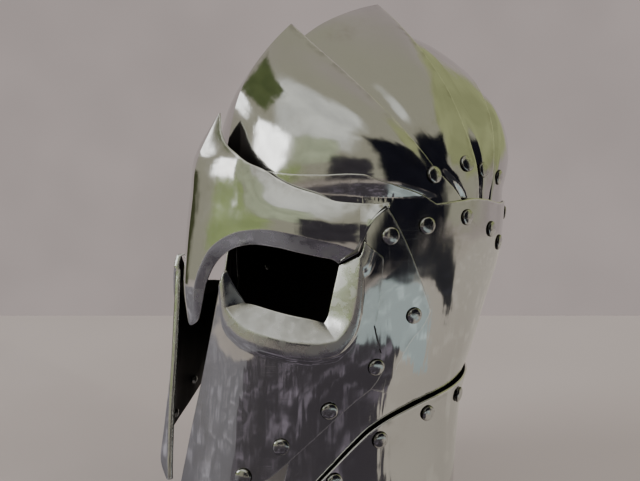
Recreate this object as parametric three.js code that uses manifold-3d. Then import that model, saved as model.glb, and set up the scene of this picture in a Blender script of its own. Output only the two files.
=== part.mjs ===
// Closed war helm of riveted steel plates, built as thin curved sheets lapped over each other.
// Millimetres, +Z up. The wearer faces -Y and the wearer's left is +X.
// The skull is a fan of four lames, the face a keeled brow and nasal over two cheek plates.

import * as THREE from 'three';
import { mergeVertices } from 'three/addons/utils/BufferGeometryUtils.js';
import Module from 'manifold-3d';

const wasm = await Module();
wasm.setup();

// Driving sizes of the helm
const EAR_HEIGHT = 232;
const SKULL_RISE = 111;
const HALF_WIDTH = 98.6;
const FACE_REACH = 124.5;
const BROW_REACH = 0.932 * FACE_REACH;
const SKULL_REACH = 101;
const NAPE_REACH = 112.6;
const SHEET = 1.4;
const LAP = 0.6;
const RIVET_HEAD_RADIUS = 5.3;
const RIVET_HEAD_RISE = 2.2;
const RIVET_SHANK_RADIUS = 2.0;
const RIVET_TAIL_RADIUS = 3.2;
const RIVET_TAIL_RISE = 1.2;
const RIVET_CLEARANCE = 0.3;
const RIVET_SIDES = 6;
const HOLE_SIDES = 6;
const FLANGE_DEPTH = 9;
const RING_RISE = 1.8;
const RING_WIDTH = 11;
const FRONT_APEX_RISE = 9.4;
const CROWN_APEX_RISE = 16;
const REAR_APEX_RISE = 5.4;
const APEX_SHARPNESS = 5.7;
const JOGGLE_TURN = 7;
const KEEL_SPREAD = 6;
const BROW_HUG_TURNS = [16, 30];
const NECK_STANDOFF = 1.2;

// Widest turn between two ribs of a plate, the places along a rib of the side plate, the rows
// of each lame past its joggle, and the spread from the keel of each of its points
const RIB_SPACING = 8.5;
const SIDE_STATIONS = [0, 0.18, 0.36, 0.5, 0.62, 0.74, 0.87, 1];
const LAME_ROWS = [5, 3, 4, 7];
const LAME_SPREADS = [0, 5, 12, 21, 31, 42, 53, 64, 75];

// Each layer of sheet lies one sheet and one lap further out than the one below it
const LAYER = SHEET + LAP;
const SIDE_LAYER = 0;
const TEMPLE_LAYER = LAYER;
const NECK_LAYER = LAYER;
const CHEEK_LAYER = 2 * LAYER;
const BROW_LAYER = 3 * LAYER + LAP;

// Colours of the polished plates and the rivets
const STEEL = { color: 0xb9bcbe, roughness: 0.12, metalness: 1 };
const RIVET_STEEL = { color: 0x9a9c9d, roughness: 0.3, metalness: 1 };

// Level sections below the ear line: height as a share of EAR_HEIGHT, then half width,
// forward reach and rearward reach as shares of their sizes, and how blunt the front is
const BODY_SECTIONS = [
  { height: 0.0, side: 0.842, front: 1.076, back: 0.586, blunt: 3.0 },
  { height: 0.181, side: 0.822, front: 1.068, back: 0.616, blunt: 2.9 },
  { height: 0.284, side: 0.816, front: 1.047, back: 0.643, blunt: 2.7 },
  { height: 0.384, side: 0.832, front: 1.028, back: 0.652, blunt: 2.5 },
  { height: 0.453, side: 0.852, front: 1.016, back: 0.684, blunt: 2.35 },
  { height: 0.526, side: 0.892, front: 1.004, back: 0.751, blunt: 2.2 },
  { height: 0.664, side: 0.948, front: 0.996, back: 0.844, blunt: 1.95 },
  { height: 0.797, side: 0.989, front: 1.0, back: 0.955, blunt: 1.72 },
  { height: 0.892, side: 1.0, front: 0.948, back: 0.986, blunt: 1.62 },
  { height: 1.0, side: 1.0, front: 0.811, back: 1.0, blunt: 1.72 },
];

// Level sections of the brow and nasal, which stand forward of the skull
const BROW_SECTIONS = [
  { height: 0.64, side: 0.93, front: 0.983, blunt: 1.6 },
  { height: 0.737, side: 0.97, front: 1.0, blunt: 1.6 },
  { height: 0.823, side: 0.992, front: 0.985, blunt: 1.62 },
  { height: 0.905, side: 1.0, front: 0.966, blunt: 1.64 },
  { height: 0.991, side: 1.0, front: 0.94, blunt: 1.64 },
  { height: 1.09, side: 0.985, front: 0.914, blunt: 1.62 },
  { height: 1.116, side: 0.972, front: 0.888, blunt: 1.62 },
  { height: 1.216, side: 0.9, front: 0.776, blunt: 1.62 },
];

// Medial keel of the skull about the ear line: turn from the front in degrees, reach as a
// share of SKULL_RISE, and how sharp the crest is there
const KEEL = [
  { turn: -30, reach: 0.93, crest: 1.7 },
  { turn: 0, reach: SKULL_REACH / SKULL_RISE, crest: 1.7 },
  { turn: 13, reach: 0.868, crest: 1.98 },
  { turn: 26, reach: 0.888, crest: 1.88 },
  { turn: 39, reach: 0.924, crest: 1.76 },
  { turn: 52, reach: 0.94, crest: 1.5 },
  { turn: 64, reach: 0.961, crest: 1.05 },
  { turn: 77, reach: 0.994, crest: 1.0 },
  { turn: 90, reach: 1.008, crest: 1.11 },
  { turn: 102, reach: 1.033, crest: 1.3 },
  { turn: 115, reach: 1.064, crest: 1.33 },
  { turn: 127, reach: 1.112, crest: 1.26 },
  { turn: 138, reach: 1.143, crest: 1.47 },
  { turn: 151, reach: 1.152, crest: 1.92 },
  { turn: 165, reach: 1.108, crest: 2.15 },
  { turn: 180, reach: NAPE_REACH / SKULL_RISE, crest: 2.1 },
];

// Power of the arch from ear to ear; it meets the level sections at the front and the back
const NAPE_BLUNT = 2.1;
const ARCH = [
  { turn: 0, power: 1.7 },
  { turn: 25, power: 2.0 },
  { turn: 150, power: 2.0 },
  { turn: 180, power: NAPE_BLUNT },
];

// The lames fan out from a hidden point behind and below each temple
const FAN_BACK = 0.355 * NAPE_REACH;
const FAN_DROP = 0.164 * EAR_HEIGHT;

// Edges of each lame as turns about the fan point, at the keel, the side and the temple end,
// how far its point rises, the turn that its joggle takes at the keel, and the keel's own rise
const LAMES = [
  { name: 'skull_front', rise: FRONT_APEX_RISE, keelJoggle: JOGGLE_TURN, keelLift: 2.4,
    frontKeel: 18, frontSide: 18, rearKeel: 59.4, rearSide: 51.1, rearEnd: 57 },
  { name: 'skull_crown', rise: CROWN_APEX_RISE, keelJoggle: 20, keelLift: 0.6,
    frontKeel: 48, frontSide: 41, rearKeel: 84.3, rearSide: 82.5, rearEnd: 82.5 },
  { name: 'skull_rear', rise: REAR_APEX_RISE, keelJoggle: JOGGLE_TURN, keelLift: 0.6,
    frontKeel: 72, frontSide: 70, rearKeel: 114, rearSide: 103.3, rearEnd: 103.3 },
  { name: 'skull_back', rise: 0, keelJoggle: JOGGLE_TURN, keelLift: 0,
    frontKeel: 103, frontSide: 91, rearKeel: 166, rearSide: 160, rearEnd: 160 },
];

// Outlines, as turns from the front in degrees and heights as shares of EAR_HEIGHT.
// Each row is one rib of the plate, from its lower or front end to its upper or rear end.
// The ribs of the side plate bend at the waist, behind the eye.
const SIDE_RIBS = [
  { lowTurn: 20, low: 0.948, waistTurn: 20, waist: 1, highTurn: 20, high: 1.066 },
  { lowTurn: 26, low: 0.947, waistTurn: 26, waist: 1, highTurn: 26, high: 1.062 },
  { lowTurn: 32, low: 0.946, waistTurn: 32, waist: 1, highTurn: 32, high: 1.058 },
  { lowTurn: 38, low: 0.944, waistTurn: 38, waist: 1, highTurn: 37.5, high: 1.056 },
  { lowTurn: 47, low: 0.942, waistTurn: 47, waist: 1, highTurn: 46, high: 1.056 },
  { lowTurn: 56, low: 0.94, waistTurn: 56, waist: 1, highTurn: 55, high: 1.059 },
  { lowTurn: 61.5, low: 0.88, waistTurn: 61.5, waist: 0.95, highTurn: 60, high: 1.058 },
  { lowTurn: 61.5, low: 0.62, waistTurn: 63, waist: 0.8, highTurn: 64, high: 1.049 },
  { lowTurn: 50, low: 0.5, waistTurn: 64.5, waist: 0.68, highTurn: 67.5, high: 1.041 },
  { lowTurn: 42, low: 0.4, waistTurn: 66, waist: 0.66, highTurn: 70.5, high: 1.034 },
  { lowTurn: 37, low: 0.31, waistTurn: 68, waist: 0.64, highTurn: 73.5, high: 1.026 },
  { lowTurn: 36, low: 0.235, waistTurn: 70, waist: 0.62, highTurn: 76.5, high: 1.019 },
  { lowTurn: 37, low: 0.175, waistTurn: 72, waist: 0.61, highTurn: 79.5, high: 1.011 },
  { lowTurn: 42, low: 0.16, waistTurn: 75, waist: 0.6, highTurn: 82, high: 1.003 },
  { lowTurn: 48, low: 0.2, waistTurn: 78, waist: 0.6, highTurn: 84.5, high: 0.992 },
  { lowTurn: 56, low: 0.25, waistTurn: 82, waist: 0.6, highTurn: 87.5, high: 0.979 },
  { lowTurn: 65, low: 0.3, waistTurn: 86, waist: 0.61, highTurn: 92, high: 0.981 },
  { lowTurn: 75, low: 0.335, waistTurn: 91, waist: 0.62, highTurn: 98, high: 0.984 },
  { lowTurn: 88, low: 0.36, waistTurn: 98, waist: 0.63, highTurn: 105, high: 0.987 },
  { lowTurn: 103, low: 0.38, waistTurn: 110, waist: 0.64, highTurn: 113, high: 0.982 },
  { lowTurn: 120, low: 0.4, waistTurn: 124, waist: 0.65, highTurn: 128, high: 0.963 },
  { lowTurn: 148, low: 0.415, waistTurn: 150, waist: 0.66, highTurn: 152, high: 0.955 },
  { lowTurn: 180, low: 0.42, waistTurn: 180, waist: 0.66, highTurn: 180, high: 0.948 },
];
const NECK_RIBS = [
  { lowTurn: 44, low: 0, highTurn: 36, high: 0.18 },
  { lowTurn: 50, low: 0, highTurn: 47.5, high: 0.273 },
  { lowTurn: 57, low: 0, highTurn: 57, high: 0.339 },
  { lowTurn: 64, low: 0, highTurn: 64, high: 0.376 },
  { lowTurn: 72, low: 0, highTurn: 72, high: 0.4 },
  { lowTurn: 82, low: 0, highTurn: 82, high: 0.418 },
  { lowTurn: 94, low: 0, highTurn: 94, high: 0.434 },
  { lowTurn: 108, low: 0, highTurn: 108, high: 0.443 },
  { lowTurn: 125, low: 0, highTurn: 125, high: 0.449 },
  { lowTurn: 150, low: 0, highTurn: 150, high: 0.454 },
  { lowTurn: 180, low: 0, highTurn: 180, high: 0.456 },
];
const TEMPLE_RIBS = [
  { lowTurn: 62.5, low: 0.966, highTurn: 69.2, high: 0.971 },
  { lowTurn: 61.5, low: 0.925, highTurn: 72, high: 0.935 },
  { lowTurn: 61.5, low: 0.87, highTurn: 75.5, high: 0.884 },
  { lowTurn: 61.5, low: 0.81, highTurn: 79, high: 0.823 },
  { lowTurn: 61.5, low: 0.75, highTurn: 82.5, high: 0.763 },
  { lowTurn: 61.5, low: 0.69, highTurn: 86.5, high: 0.698 },
  { lowTurn: 61.5, low: 0.64, highTurn: 84, high: 0.66 },
  { lowTurn: 61.5, low: 0.6, highTurn: 79.5, high: 0.625 },
  { lowTurn: 61.5, low: 0.56, highTurn: 75.5, high: 0.578 },
  { lowTurn: 61.8, low: 0.53, highTurn: 72.5, high: 0.53 },
  { lowTurn: 62.5, low: 0.502, highTurn: 70, high: 0.478 },
];

// Ribs of the cheek run up to the crease round the eye, and the flange turns in past it
const CHEEK_RIBS = [
  { lowTurn: 5, low: 0.178, highTurn: 17.6, high: 0.807, lipTurn: 17.9, lip: 0.811, depth: 0.1 },
  { lowTurn: 7, low: 0.184, highTurn: 18.1, high: 0.766, lipTurn: 20.3, lip: 0.769, depth: 0.45 },
  { lowTurn: 9.5, low: 0.19, highTurn: 18.9, high: 0.722, lipTurn: 22.6, lip: 0.726, depth: 1 },
  { lowTurn: 13.5, low: 0.198, highTurn: 21.8, high: 0.691, lipTurn: 25.3, lip: 0.7225, depth: 1 },
  { lowTurn: 19, low: 0.212, highTurn: 25.4, high: 0.671, lipTurn: 28.7, lip: 0.716, depth: 1 },
  { lowTurn: 25, low: 0.238, highTurn: 31.5, high: 0.6555, lipTurn: 33.6, lip: 0.706, depth: 1 },
  { lowTurn: 32, low: 0.284, highTurn: 38.5, high: 0.643, lipTurn: 38.2, lip: 0.698, depth: 1 },
  { lowTurn: 40, low: 0.352, highTurn: 45.1, high: 0.638, lipTurn: 43.4, lip: 0.69, depth: 1 },
  { lowTurn: 49, low: 0.42, highTurn: 51.1, high: 0.6455, lipTurn: 47.9, lip: 0.68, depth: 1 },
  { lowTurn: 57, low: 0.472, highTurn: 54.2, high: 0.6705, lipTurn: 49.1, lip: 0.699, depth: 1 },
  { lowTurn: 63.5, low: 0.508, highTurn: 56.3, high: 0.707, lipTurn: 49.9, lip: 0.7285, depth: 1 },
  { lowTurn: 66.9, low: 0.545, highTurn: 57.5, high: 0.754, lipTurn: 50.8, lip: 0.763, depth: 1 },
  { lowTurn: 66.5, low: 0.59, highTurn: 58.3, high: 0.811, lipTurn: 51.7, lip: 0.7965, depth: 1 },
  { lowTurn: 64.4, low: 0.66, highTurn: 58.8, high: 0.856, lipTurn: 52.5, lip: 0.8275, depth: 1 },
  { lowTurn: 65.8, low: 0.75, highTurn: 59.6, high: 0.8655, lipTurn: 59.1, lip: 0.8665, depth: 0.08 },
  { lowTurn: 67, low: 0.85, highTurn: 60.5, high: 0.893, lipTurn: 60, lip: 0.894, depth: 0.08 },
];
const BROW_RIBS = [
  { lowTurn: 0, low: 0.639, highTurn: 0, high: 1.216, lipTurn: 0, lip: 0.635, depth: 0.12 },
  { lowTurn: 1.5, low: 0.655, highTurn: 2.6, high: 1.19, lipTurn: 2.4, lip: 0.652, depth: 0.2 },
  { lowTurn: 2.6, low: 0.706, highTurn: 4.2, high: 1.172, lipTurn: 4.6, lip: 0.703, depth: 0.33 },
  { lowTurn: 4, low: 0.774, highTurn: 6.4, high: 1.155, lipTurn: 6.7, lip: 0.772, depth: 0.42 },
  { lowTurn: 6.2, low: 0.821, highTurn: 10, high: 1.132, lipTurn: 9.2, lip: 0.8155, depth: 0.49 },
  { lowTurn: 9, low: 0.858, highTurn: 15.5, high: 1.108, lipTurn: 12.5, lip: 0.845, depth: 0.53 },
  { lowTurn: 14.2, low: 0.891, highTurn: 20, high: 1.086, lipTurn: 17.5, lip: 0.868, depth: 0.53 },
  { lowTurn: 20, low: 0.9105, highTurn: 25, high: 1.069, lipTurn: 23.5, lip: 0.877, depth: 0.53 },
  { lowTurn: 27.5, low: 0.918, highTurn: 30, high: 1.047, lipTurn: 30, lip: 0.8735, depth: 0.53 },
  { lowTurn: 36, low: 0.9105, highTurn: 36.5, high: 1.026, lipTurn: 37.7, lip: 0.8625, depth: 0.53 },
  { lowTurn: 44.5, low: 0.897, highTurn: 44.5, high: 1.009, lipTurn: 44.5, lip: 0.8525, depth: 0.53 },
  { lowTurn: 52.5, low: 0.883, highTurn: 52, high: 0.991, lipTurn: 50.1, lip: 0.8445, depth: 0.53 },
  { lowTurn: 58.8, low: 0.866, highTurn: 59.5, high: 0.987, lipTurn: 52.1, lip: 0.835, depth: 0.53 },
  { lowTurn: 60.2, low: 0.895, highTurn: 62, high: 0.986, lipTurn: 59.8, lip: 0.893, depth: 0.1 },
  { lowTurn: 63, low: 0.94, highTurn: 65.5, high: 0.986, lipTurn: 62.8, lip: 0.938, depth: 0.1 },
  { lowTurn: 68, low: 0.979, highTurn: 69.5, high: 0.99, lipTurn: 67.8, lip: 0.977, depth: 0.1 },
];

// Rivets on the left side; the right side has the same ones mirrored.
// A rivet on a lame is placed about the fan point, the others by turn and height.
const LAME_RIVETS = [
  { name: 'rivet_front', turn: 48.5, spread: 55 },
  { name: 'rivet_crown', turn: 73.5, spread: 58 },
  { name: 'rivet_rear', turn: 90, spread: 60.5 },
  { name: 'rivet_back', turn: 114.5, spread: 59 },
];
const PLATE_RIVETS = [
  { name: 'rivet_side_a', turn: 83.5, height: 0.927 },
  { name: 'rivet_side_b', turn: 102, height: 0.94 },
  { name: 'rivet_side_c', turn: 118.5, height: 0.897 },
  { name: 'rivet_side_d', turn: 129, height: 0.849 },
  { name: 'rivet_side_e', turn: 146, height: 0.922 },
  { name: 'rivet_temple_a', turn: 69.8, height: 0.905 },
  { name: 'rivet_temple_b', turn: 79.2, height: 0.694 },
  { name: 'rivet_cheek_a', turn: 64.6, height: 0.567 },
  { name: 'rivet_cheek_b', turn: 48.5, height: 0.457 },
  { name: 'rivet_cheek_c', turn: 35, height: 0.366 },
  { name: 'rivet_cheek_d', turn: 26, height: 0.284 },
  { name: 'rivet_neck_a', turn: 50, height: 0.256 },
  { name: 'rivet_neck_b', turn: 67.5, height: 0.349 },
  { name: 'rivet_neck_c', turn: 92, height: 0.394 },
  { name: 'rivet_neck_d', turn: 116, height: 0.406 },
  { name: 'rivet_neck_e', turn: 150, height: 0.427 },
];

// Smooth value between the rows of a table, by cubic pieces through its rows
function sample(table, key, at, column) {
  const last = table.length - 1;
  if (at <= table[0][key]) return table[0][column];
  if (at >= table[last][key]) return table[last][column];
  let row = 0;
  while (table[row + 1][key] < at) row += 1;
  const slope = (a, b) => (table[b][column] - table[a][column]) / (table[b][key] - table[a][key]);
  const here = slope(row, row + 1);
  const before = row > 0 ? slope(row - 1, row) : here;
  const after = row + 1 < last ? slope(row + 1, row + 2) : here;
  const width = table[row + 1][key] - table[row][key];
  const s = (at - table[row][key]) / width;
  const start = (before + here) / 2 * width;
  const end = (here + after) / 2 * width;
  const rise = table[row + 1][column] - table[row][column];
  return table[row][column] + start * s + (3 * rise - 2 * start - end) * s * s
    + (start + end - 2 * rise) * s * s * s;
}

// One for a point on a level section, less inside and more outside
function sectionGauge(x, y, side, front, back, blunt) {
  const power = y < 0 ? blunt : NAPE_BLUNT;
  const reach = y < 0 ? front : back;
  return (Math.abs(x) / side) ** power + (Math.abs(y) / reach) ** power;
}

// The skull and body as one closed form: sections below the ear line, keeled arches above
function bodyGauge(x, y, z, hugSkull) {
  if (z > EAR_HEIGHT) {
    const turn = THREE.MathUtils.radToDeg(Math.atan2(z - EAR_HEIGHT, -y));
    const reach = sample(KEEL, 'turn', turn, 'reach') * SKULL_RISE;
    const crest = sample(KEEL, 'turn', turn, 'crest');
    const arch = sample(ARCH, 'turn', turn, 'power');
    return (Math.abs(x) / HALF_WIDTH) ** crest + (Math.hypot(y, z - EAR_HEIGHT) / reach) ** arch;
  }
  const row = (column) => sample(BODY_SECTIONS, 'height', z / EAR_HEIGHT, column);
  const front = hugSkull ? SKULL_REACH : row('front') * FACE_REACH;
  const blunt = hugSkull ? KEEL[0].crest : row('blunt');
  return sectionGauge(x, y, row('side') * HALF_WIDTH, front, row('back') * NAPE_REACH, blunt);
}

function plateForm(x, y, z) {
  return bodyGauge(x, y, z, false);
}

function skullForm(x, y, z) {
  return bodyGauge(x, y, z, true);
}

function browForm(x, y, z) {
  const row = (column) => sample(BROW_SECTIONS, 'height', z / EAR_HEIGHT, column);
  return sectionGauge(x, y, row('side') * HALF_WIDTH, row('front') * BROW_REACH, NAPE_REACH, row('blunt'));
}

// Distance from an inside point to the form along a unit direction
function castOut(form, from, direction) {
  let near = 0;
  let far = 3 * HALF_WIDTH;
  for (let pass = 0; pass < 44; pass += 1) {
    const middle = (near + far) / 2;
    const p = from.clone().addScaledVector(direction, middle);
    if (form(p.x, p.y, p.z) < 1) near = middle;
    else far = middle;
  }
  return near;
}

// Outward normal of a form, level for the plates below the skull
function normalOf(form, p, level) {
  const step = 0.05;
  const along = (dx, dy, dz) => form(p.x + dx, p.y + dy, p.z + dz) - form(p.x - dx, p.y - dy, p.z - dz);
  const rise = level ? 0 : along(0, 0, step);
  return new THREE.Vector3(along(step, 0, 0), along(0, step, 0), rise).normalize();
}

// Point of a plate at a turn from the front and a height, moved out along the level normal
function platePoint(form, turnDegrees, height, out) {
  const turn = THREE.MathUtils.degToRad(turnDegrees);
  const from = new THREE.Vector3(0, 0, height);
  const direction = new THREE.Vector3(Math.sin(turn), -Math.cos(turn), 0);
  const p = from.addScaledVector(direction, castOut(form, from, direction));
  const foot = new THREE.Vector3(Math.max(Math.abs(p.x), 0.5) * (p.x < 0 ? -1 : 1), p.y, p.z);
  const normal = normalOf(form, Math.abs(p.x) < 0.5 ? new THREE.Vector3(0, p.y, p.z) : foot, true);
  return p.addScaledVector(normal, out);
}

// Edge of a lame between its keel and its temple end, as a turn about the fan point
function lameEdge(lame, edge, spreadDegrees) {
  const { lerp, clamp } = THREE.MathUtils;
  const side = lerp(lame[`${edge}Keel`], lame[`${edge}Side`], clamp(Math.abs(spreadDegrees) / 55, 0, 1));
  if (edge === 'front') return side;
  return side + (lame.rearEnd - lame.rearSide) * clamp((Math.abs(spreadDegrees) - 55) / 11, 0, 1);
}

// A lame lies one layer under the side plate and joggles down one more under the lame before it
function lameOut(index, turnDegrees, spreadDegrees) {
  if (index === 0) return -LAYER;
  const past = turnDegrees - lameEdge(LAMES[index - 1], 'rear', spreadDegrees);
  const nearKeel = Math.max(0, 1 - Math.abs(spreadDegrees) / 25);
  const joggle = THREE.MathUtils.lerp(JOGGLE_TURN, LAMES[index].keelJoggle, nearKeel);
  return -LAYER * (2 - THREE.MathUtils.smoothstep(past, 1, 1 + joggle));
}

// Point of a lame about the fan point, with the sheet's outer or inner side, raised at the keel
function lamePoint(index, turnDegrees, spreadDegrees, sheet, rise) {
  const turn = THREE.MathUtils.degToRad(turnDegrees);
  const spread = THREE.MathUtils.degToRad(spreadDegrees);
  const from = new THREE.Vector3(0, FAN_BACK, EAR_HEIGHT - FAN_DROP);
  const direction = new THREE.Vector3(
    Math.sin(spread),
    -Math.cos(spread) * Math.cos(turn),
    Math.cos(spread) * Math.sin(turn),
  );
  const p = from.clone().addScaledVector(direction, castOut(skullForm, from, direction));
  const normal = normalOf(skullForm, p, false);
  const out = lameOut(index, turnDegrees, spreadDegrees);
  const apex = rise * (1 - Math.abs(spreadDegrees) / 90) ** APEX_SHARPNESS;
  const lift = apex + LAMES[index].keelLift * Math.exp(-Math.abs(spreadDegrees) / KEEL_SPREAD);
  return p.addScaledVector(normal, out + sheet).addScaledVector(direction, lift);
}

// Closed solid between an outer and an inner grid of points of the same size
function sheetGeometry(outer, inner) {
  const rows = outer.length;
  const columns = outer[0].length;
  const points = [...outer.flat(), ...inner.flat()];
  const at = (layer, i, j) => (layer * rows + i) * columns + j;
  const faces = [];
  const quad = (a, b, c, d) => faces.push(a, b, c, a, c, d);
  for (let i = 0; i + 1 < rows; i += 1) {
    for (let j = 0; j + 1 < columns; j += 1) {
      quad(at(0, i, j), at(0, i + 1, j), at(0, i + 1, j + 1), at(0, i, j + 1));
      quad(at(1, i, j), at(1, i, j + 1), at(1, i + 1, j + 1), at(1, i + 1, j));
    }
  }
  for (let i = 0; i + 1 < rows; i += 1) {
    quad(at(0, i, 0), at(1, i, 0), at(1, i + 1, 0), at(0, i + 1, 0));
    quad(at(0, i + 1, columns - 1), at(1, i + 1, columns - 1), at(1, i, columns - 1), at(0, i, columns - 1));
  }
  for (let j = 0; j + 1 < columns; j += 1) {
    quad(at(0, 0, j + 1), at(1, 0, j + 1), at(1, 0, j), at(0, 0, j));
    quad(at(0, rows - 1, j), at(1, rows - 1, j), at(1, rows - 1, j + 1), at(0, rows - 1, j + 1));
  }
  return closedGeometry(points, faces);
}

// Indexed geometry whose faces point out
function closedGeometry(points, faces) {
  let volume = 0;
  for (let f = 0; f < faces.length; f += 3) {
    volume += points[faces[f]].dot(points[faces[f + 1]].clone().cross(points[faces[f + 2]]));
  }
  if (volume < 0) faces.reverse();
  const geometry = new THREE.BufferGeometry();
  geometry.setAttribute('position', new THREE.Float32BufferAttribute(points.flatMap((p) => p.toArray()), 3));
  geometry.setIndex(faces);
  return geometry;
}

// Ribs with extra ones set in between the rows of a table, so that none lie too far apart
function finerRibs(table, widest) {
  const ribs = [];
  for (let row = 0; row + 1 < table.length; row += 1) {
    const gap = (column) => Math.abs(table[row + 1][column] - table[row][column]);
    const steps = Math.max(1, Math.ceil(Math.min(gap('lowTurn'), gap('highTurn')) / widest));
    for (let step = 0; step < steps; step += 1) {
      const rib = {};
      for (const column of Object.keys(table[row])) {
        rib[column] = THREE.MathUtils.lerp(table[row][column], table[row + 1][column], step / steps);
      }
      ribs.push(rib);
    }
  }
  ribs.push({ ...table[table.length - 1] });
  return ribs;
}

// The left ribs and their mirror images, as one run from the right side to the left
function mirroredRibs(ribs, joinsAtBack) {
  const flip = (rib) => {
    const other = { ...rib };
    for (const column of Object.keys(rib).filter((key) => key.endsWith('Turn'))) other[column] = -rib[column];
    return other;
  };
  const kept = joinsAtBack ? ribs.slice(0, -1) : ribs.slice(1);
  const mirrored = kept.map(flip);
  return joinsAtBack ? [...ribs, ...mirrored.reverse()] : [...mirrored.reverse(), ...ribs];
}

// Turn and height at a share of a rib, by way of its waist where it has one
function alongRib(rib, share) {
  const { lerp } = THREE.MathUtils;
  if (!('waist' in rib)) {
    return { turn: lerp(rib.lowTurn, rib.highTurn, share), height: lerp(rib.low, rib.high, share) * EAR_HEIGHT };
  }
  const half = Math.min(1, 2 * share);
  const rest = Math.max(0, 2 * share - 1);
  const turn = lerp(lerp(rib.lowTurn, rib.waistTurn, half), rib.highTurn, rest);
  const height = lerp(lerp(rib.low, rib.waist, half), rib.high, rest);
  return { turn, height: height * EAR_HEIGHT };
}

// Plate whose ribs run straight from low to high, at places given as shares along them
function ribbedPlate(form, ribs, stations, outAt) {
  const outer = [];
  const inner = [];
  for (const rib of ribs) {
    const outerRow = [];
    const innerRow = [];
    for (const station of stations(rib)) {
      const { turn, height } = alongRib(rib, station.share);
      const out = outAt(station, rib);
      outerRow.push(platePoint(form, turn, height, out + SHEET));
      innerRow.push(platePoint(form, turn, height, out));
    }
    outer.push(outerRow);
    inner.push(innerRow);
  }
  return { outer, inner };
}

function evenStations(count) {
  return () => Array.from({ length: count + 1 }, (_, i) => ({ share: i / count }));
}

// Stations of a rib that ends at the eye: plain plate, then a raised ring, then the crease
function eyeStations(count, ringWidth) {
  return (rib) => {
    const rise = (rib.high - rib.low) * EAR_HEIGHT;
    const length = Math.hypot(rise, THREE.MathUtils.degToRad(rib.highTurn - rib.lowTurn) * HALF_WIDTH);
    const ring = Math.min(ringWidth / Math.max(length, 1), 0.6);
    const plain = Array.from({ length: count + 1 }, (_, i) => ({ share: (1 - ring) * i / count, rise: 0 }));
    return [...plain, { share: 1 - 0.8 * ring, rise: 1 }, { share: 1 - 0.12 * ring, rise: 1 }, { share: 1, rise: 0.35 }];
  };
}

// The inward flange past the crease of each rib, added to the grids of a plate
function addFlange(form, ribs, grids, layer, atHigh) {
  const degree = THREE.MathUtils.degToRad(1) * HALF_WIDTH;
  ribs.forEach((rib, i) => {
    const crease = atHigh ? { turn: rib.highTurn, z: rib.high } : { turn: rib.lowTurn, z: rib.low };
    const across = Math.hypot((rib.lipTurn - crease.turn) * degree, (rib.lip - crease.z) * EAR_HEIGHT);
    const bevel = Math.min(1, rib.depth);
    const outer = [];
    const inner = [];
    for (const share of [0.5, 1]) {
      const out = layer - share * rib.depth * FLANGE_DEPTH;
      const back = Math.min(0.7 * SHEET * bevel, 0.4 * across) / Math.max(across, SHEET);
      for (const [row, at, sheet] of [[outer, share, SHEET], [inner, share - back, 0.3 * SHEET * bevel]]) {
        const turn = THREE.MathUtils.lerp(crease.turn, rib.lipTurn, at);
        const z = THREE.MathUtils.lerp(crease.z, rib.lip, at) * EAR_HEIGHT;
        row.push(platePoint(form, turn, z, out + sheet));
      }
    }
    if (atHigh) {
      grids.outer[i].push(...outer);
      grids.inner[i].push(...inner);
    } else {
      grids.outer[i].unshift(...outer.reverse());
      grids.inner[i].unshift(...inner.reverse());
    }
  });
}

function buildSidePlate() {
  const ribs = mirroredRibs(finerRibs(SIDE_RIBS, RIB_SPACING), true);
  const grids = ribbedPlate(plateForm, ribs, () => SIDE_STATIONS.map((share) => ({ share })), () => SIDE_LAYER);
  return sheetGeometry(grids.outer, grids.inner);
}

function buildNeckLame() {
  const ribs = mirroredRibs(finerRibs(NECK_RIBS, RIB_SPACING), true);
  const flare = (station) => NECK_LAYER + NECK_STANDOFF * Math.max(0, station.share - 0.7) / 0.3;
  const grids = ribbedPlate(plateForm, ribs, () => [0, 0.35, 0.7, 0.86, 1].map((share) => ({ share })), flare);
  return sheetGeometry(grids.outer, grids.inner);
}

function mirrorGrid(grid, hand) {
  return grid.map((row) => row.map((p) => new THREE.Vector3(hand * p.x, p.y, p.z)));
}

function buildTemplePlate(hand) {
  const grids = ribbedPlate(plateForm, TEMPLE_RIBS, evenStations(4), () => TEMPLE_LAYER);
  return sheetGeometry(mirrorGrid(grids.outer, hand), mirrorGrid(grids.inner, hand));
}

function buildCheekPlate(hand) {
  const out = (station) => CHEEK_LAYER + station.rise * RING_RISE;
  const grids = ribbedPlate(plateForm, CHEEK_RIBS, eyeStations(4, RING_WIDTH), out);
  addFlange(plateForm, CHEEK_RIBS, grids, CHEEK_LAYER, true);
  return sheetGeometry(mirrorGrid(grids.outer, hand), mirrorGrid(grids.inner, hand));
}

// How far out the brow lies: clear of the skull in the middle, its upper edge close over the
// side plate's arms further round
function browOut(station, rib) {
  const { turn, height } = alongRib(rib, station.share);
  const angle = THREE.MathUtils.degToRad(turn);
  const from = new THREE.Vector3(0, 0, height);
  const direction = new THREE.Vector3(Math.sin(angle), -Math.cos(angle), 0);
  const standOff = castOut(browForm, from, direction) - castOut(plateForm, from, direction);
  const hug = THREE.MathUtils.smoothstep(Math.abs(turn), ...BROW_HUG_TURNS) * station.share ** 2;
  return BROW_LAYER - hug * (standOff + BROW_LAYER - (SIDE_LAYER + LAYER + LAP));
}

function buildBrowNasal() {
  const ribs = mirroredRibs(BROW_RIBS, false);
  const grids = ribbedPlate(browForm, ribs, evenStations(4), browOut);
  addFlange(browForm, ribs, grids, BROW_LAYER, false);
  return sheetGeometry(grids.outer, grids.inner);
}

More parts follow.
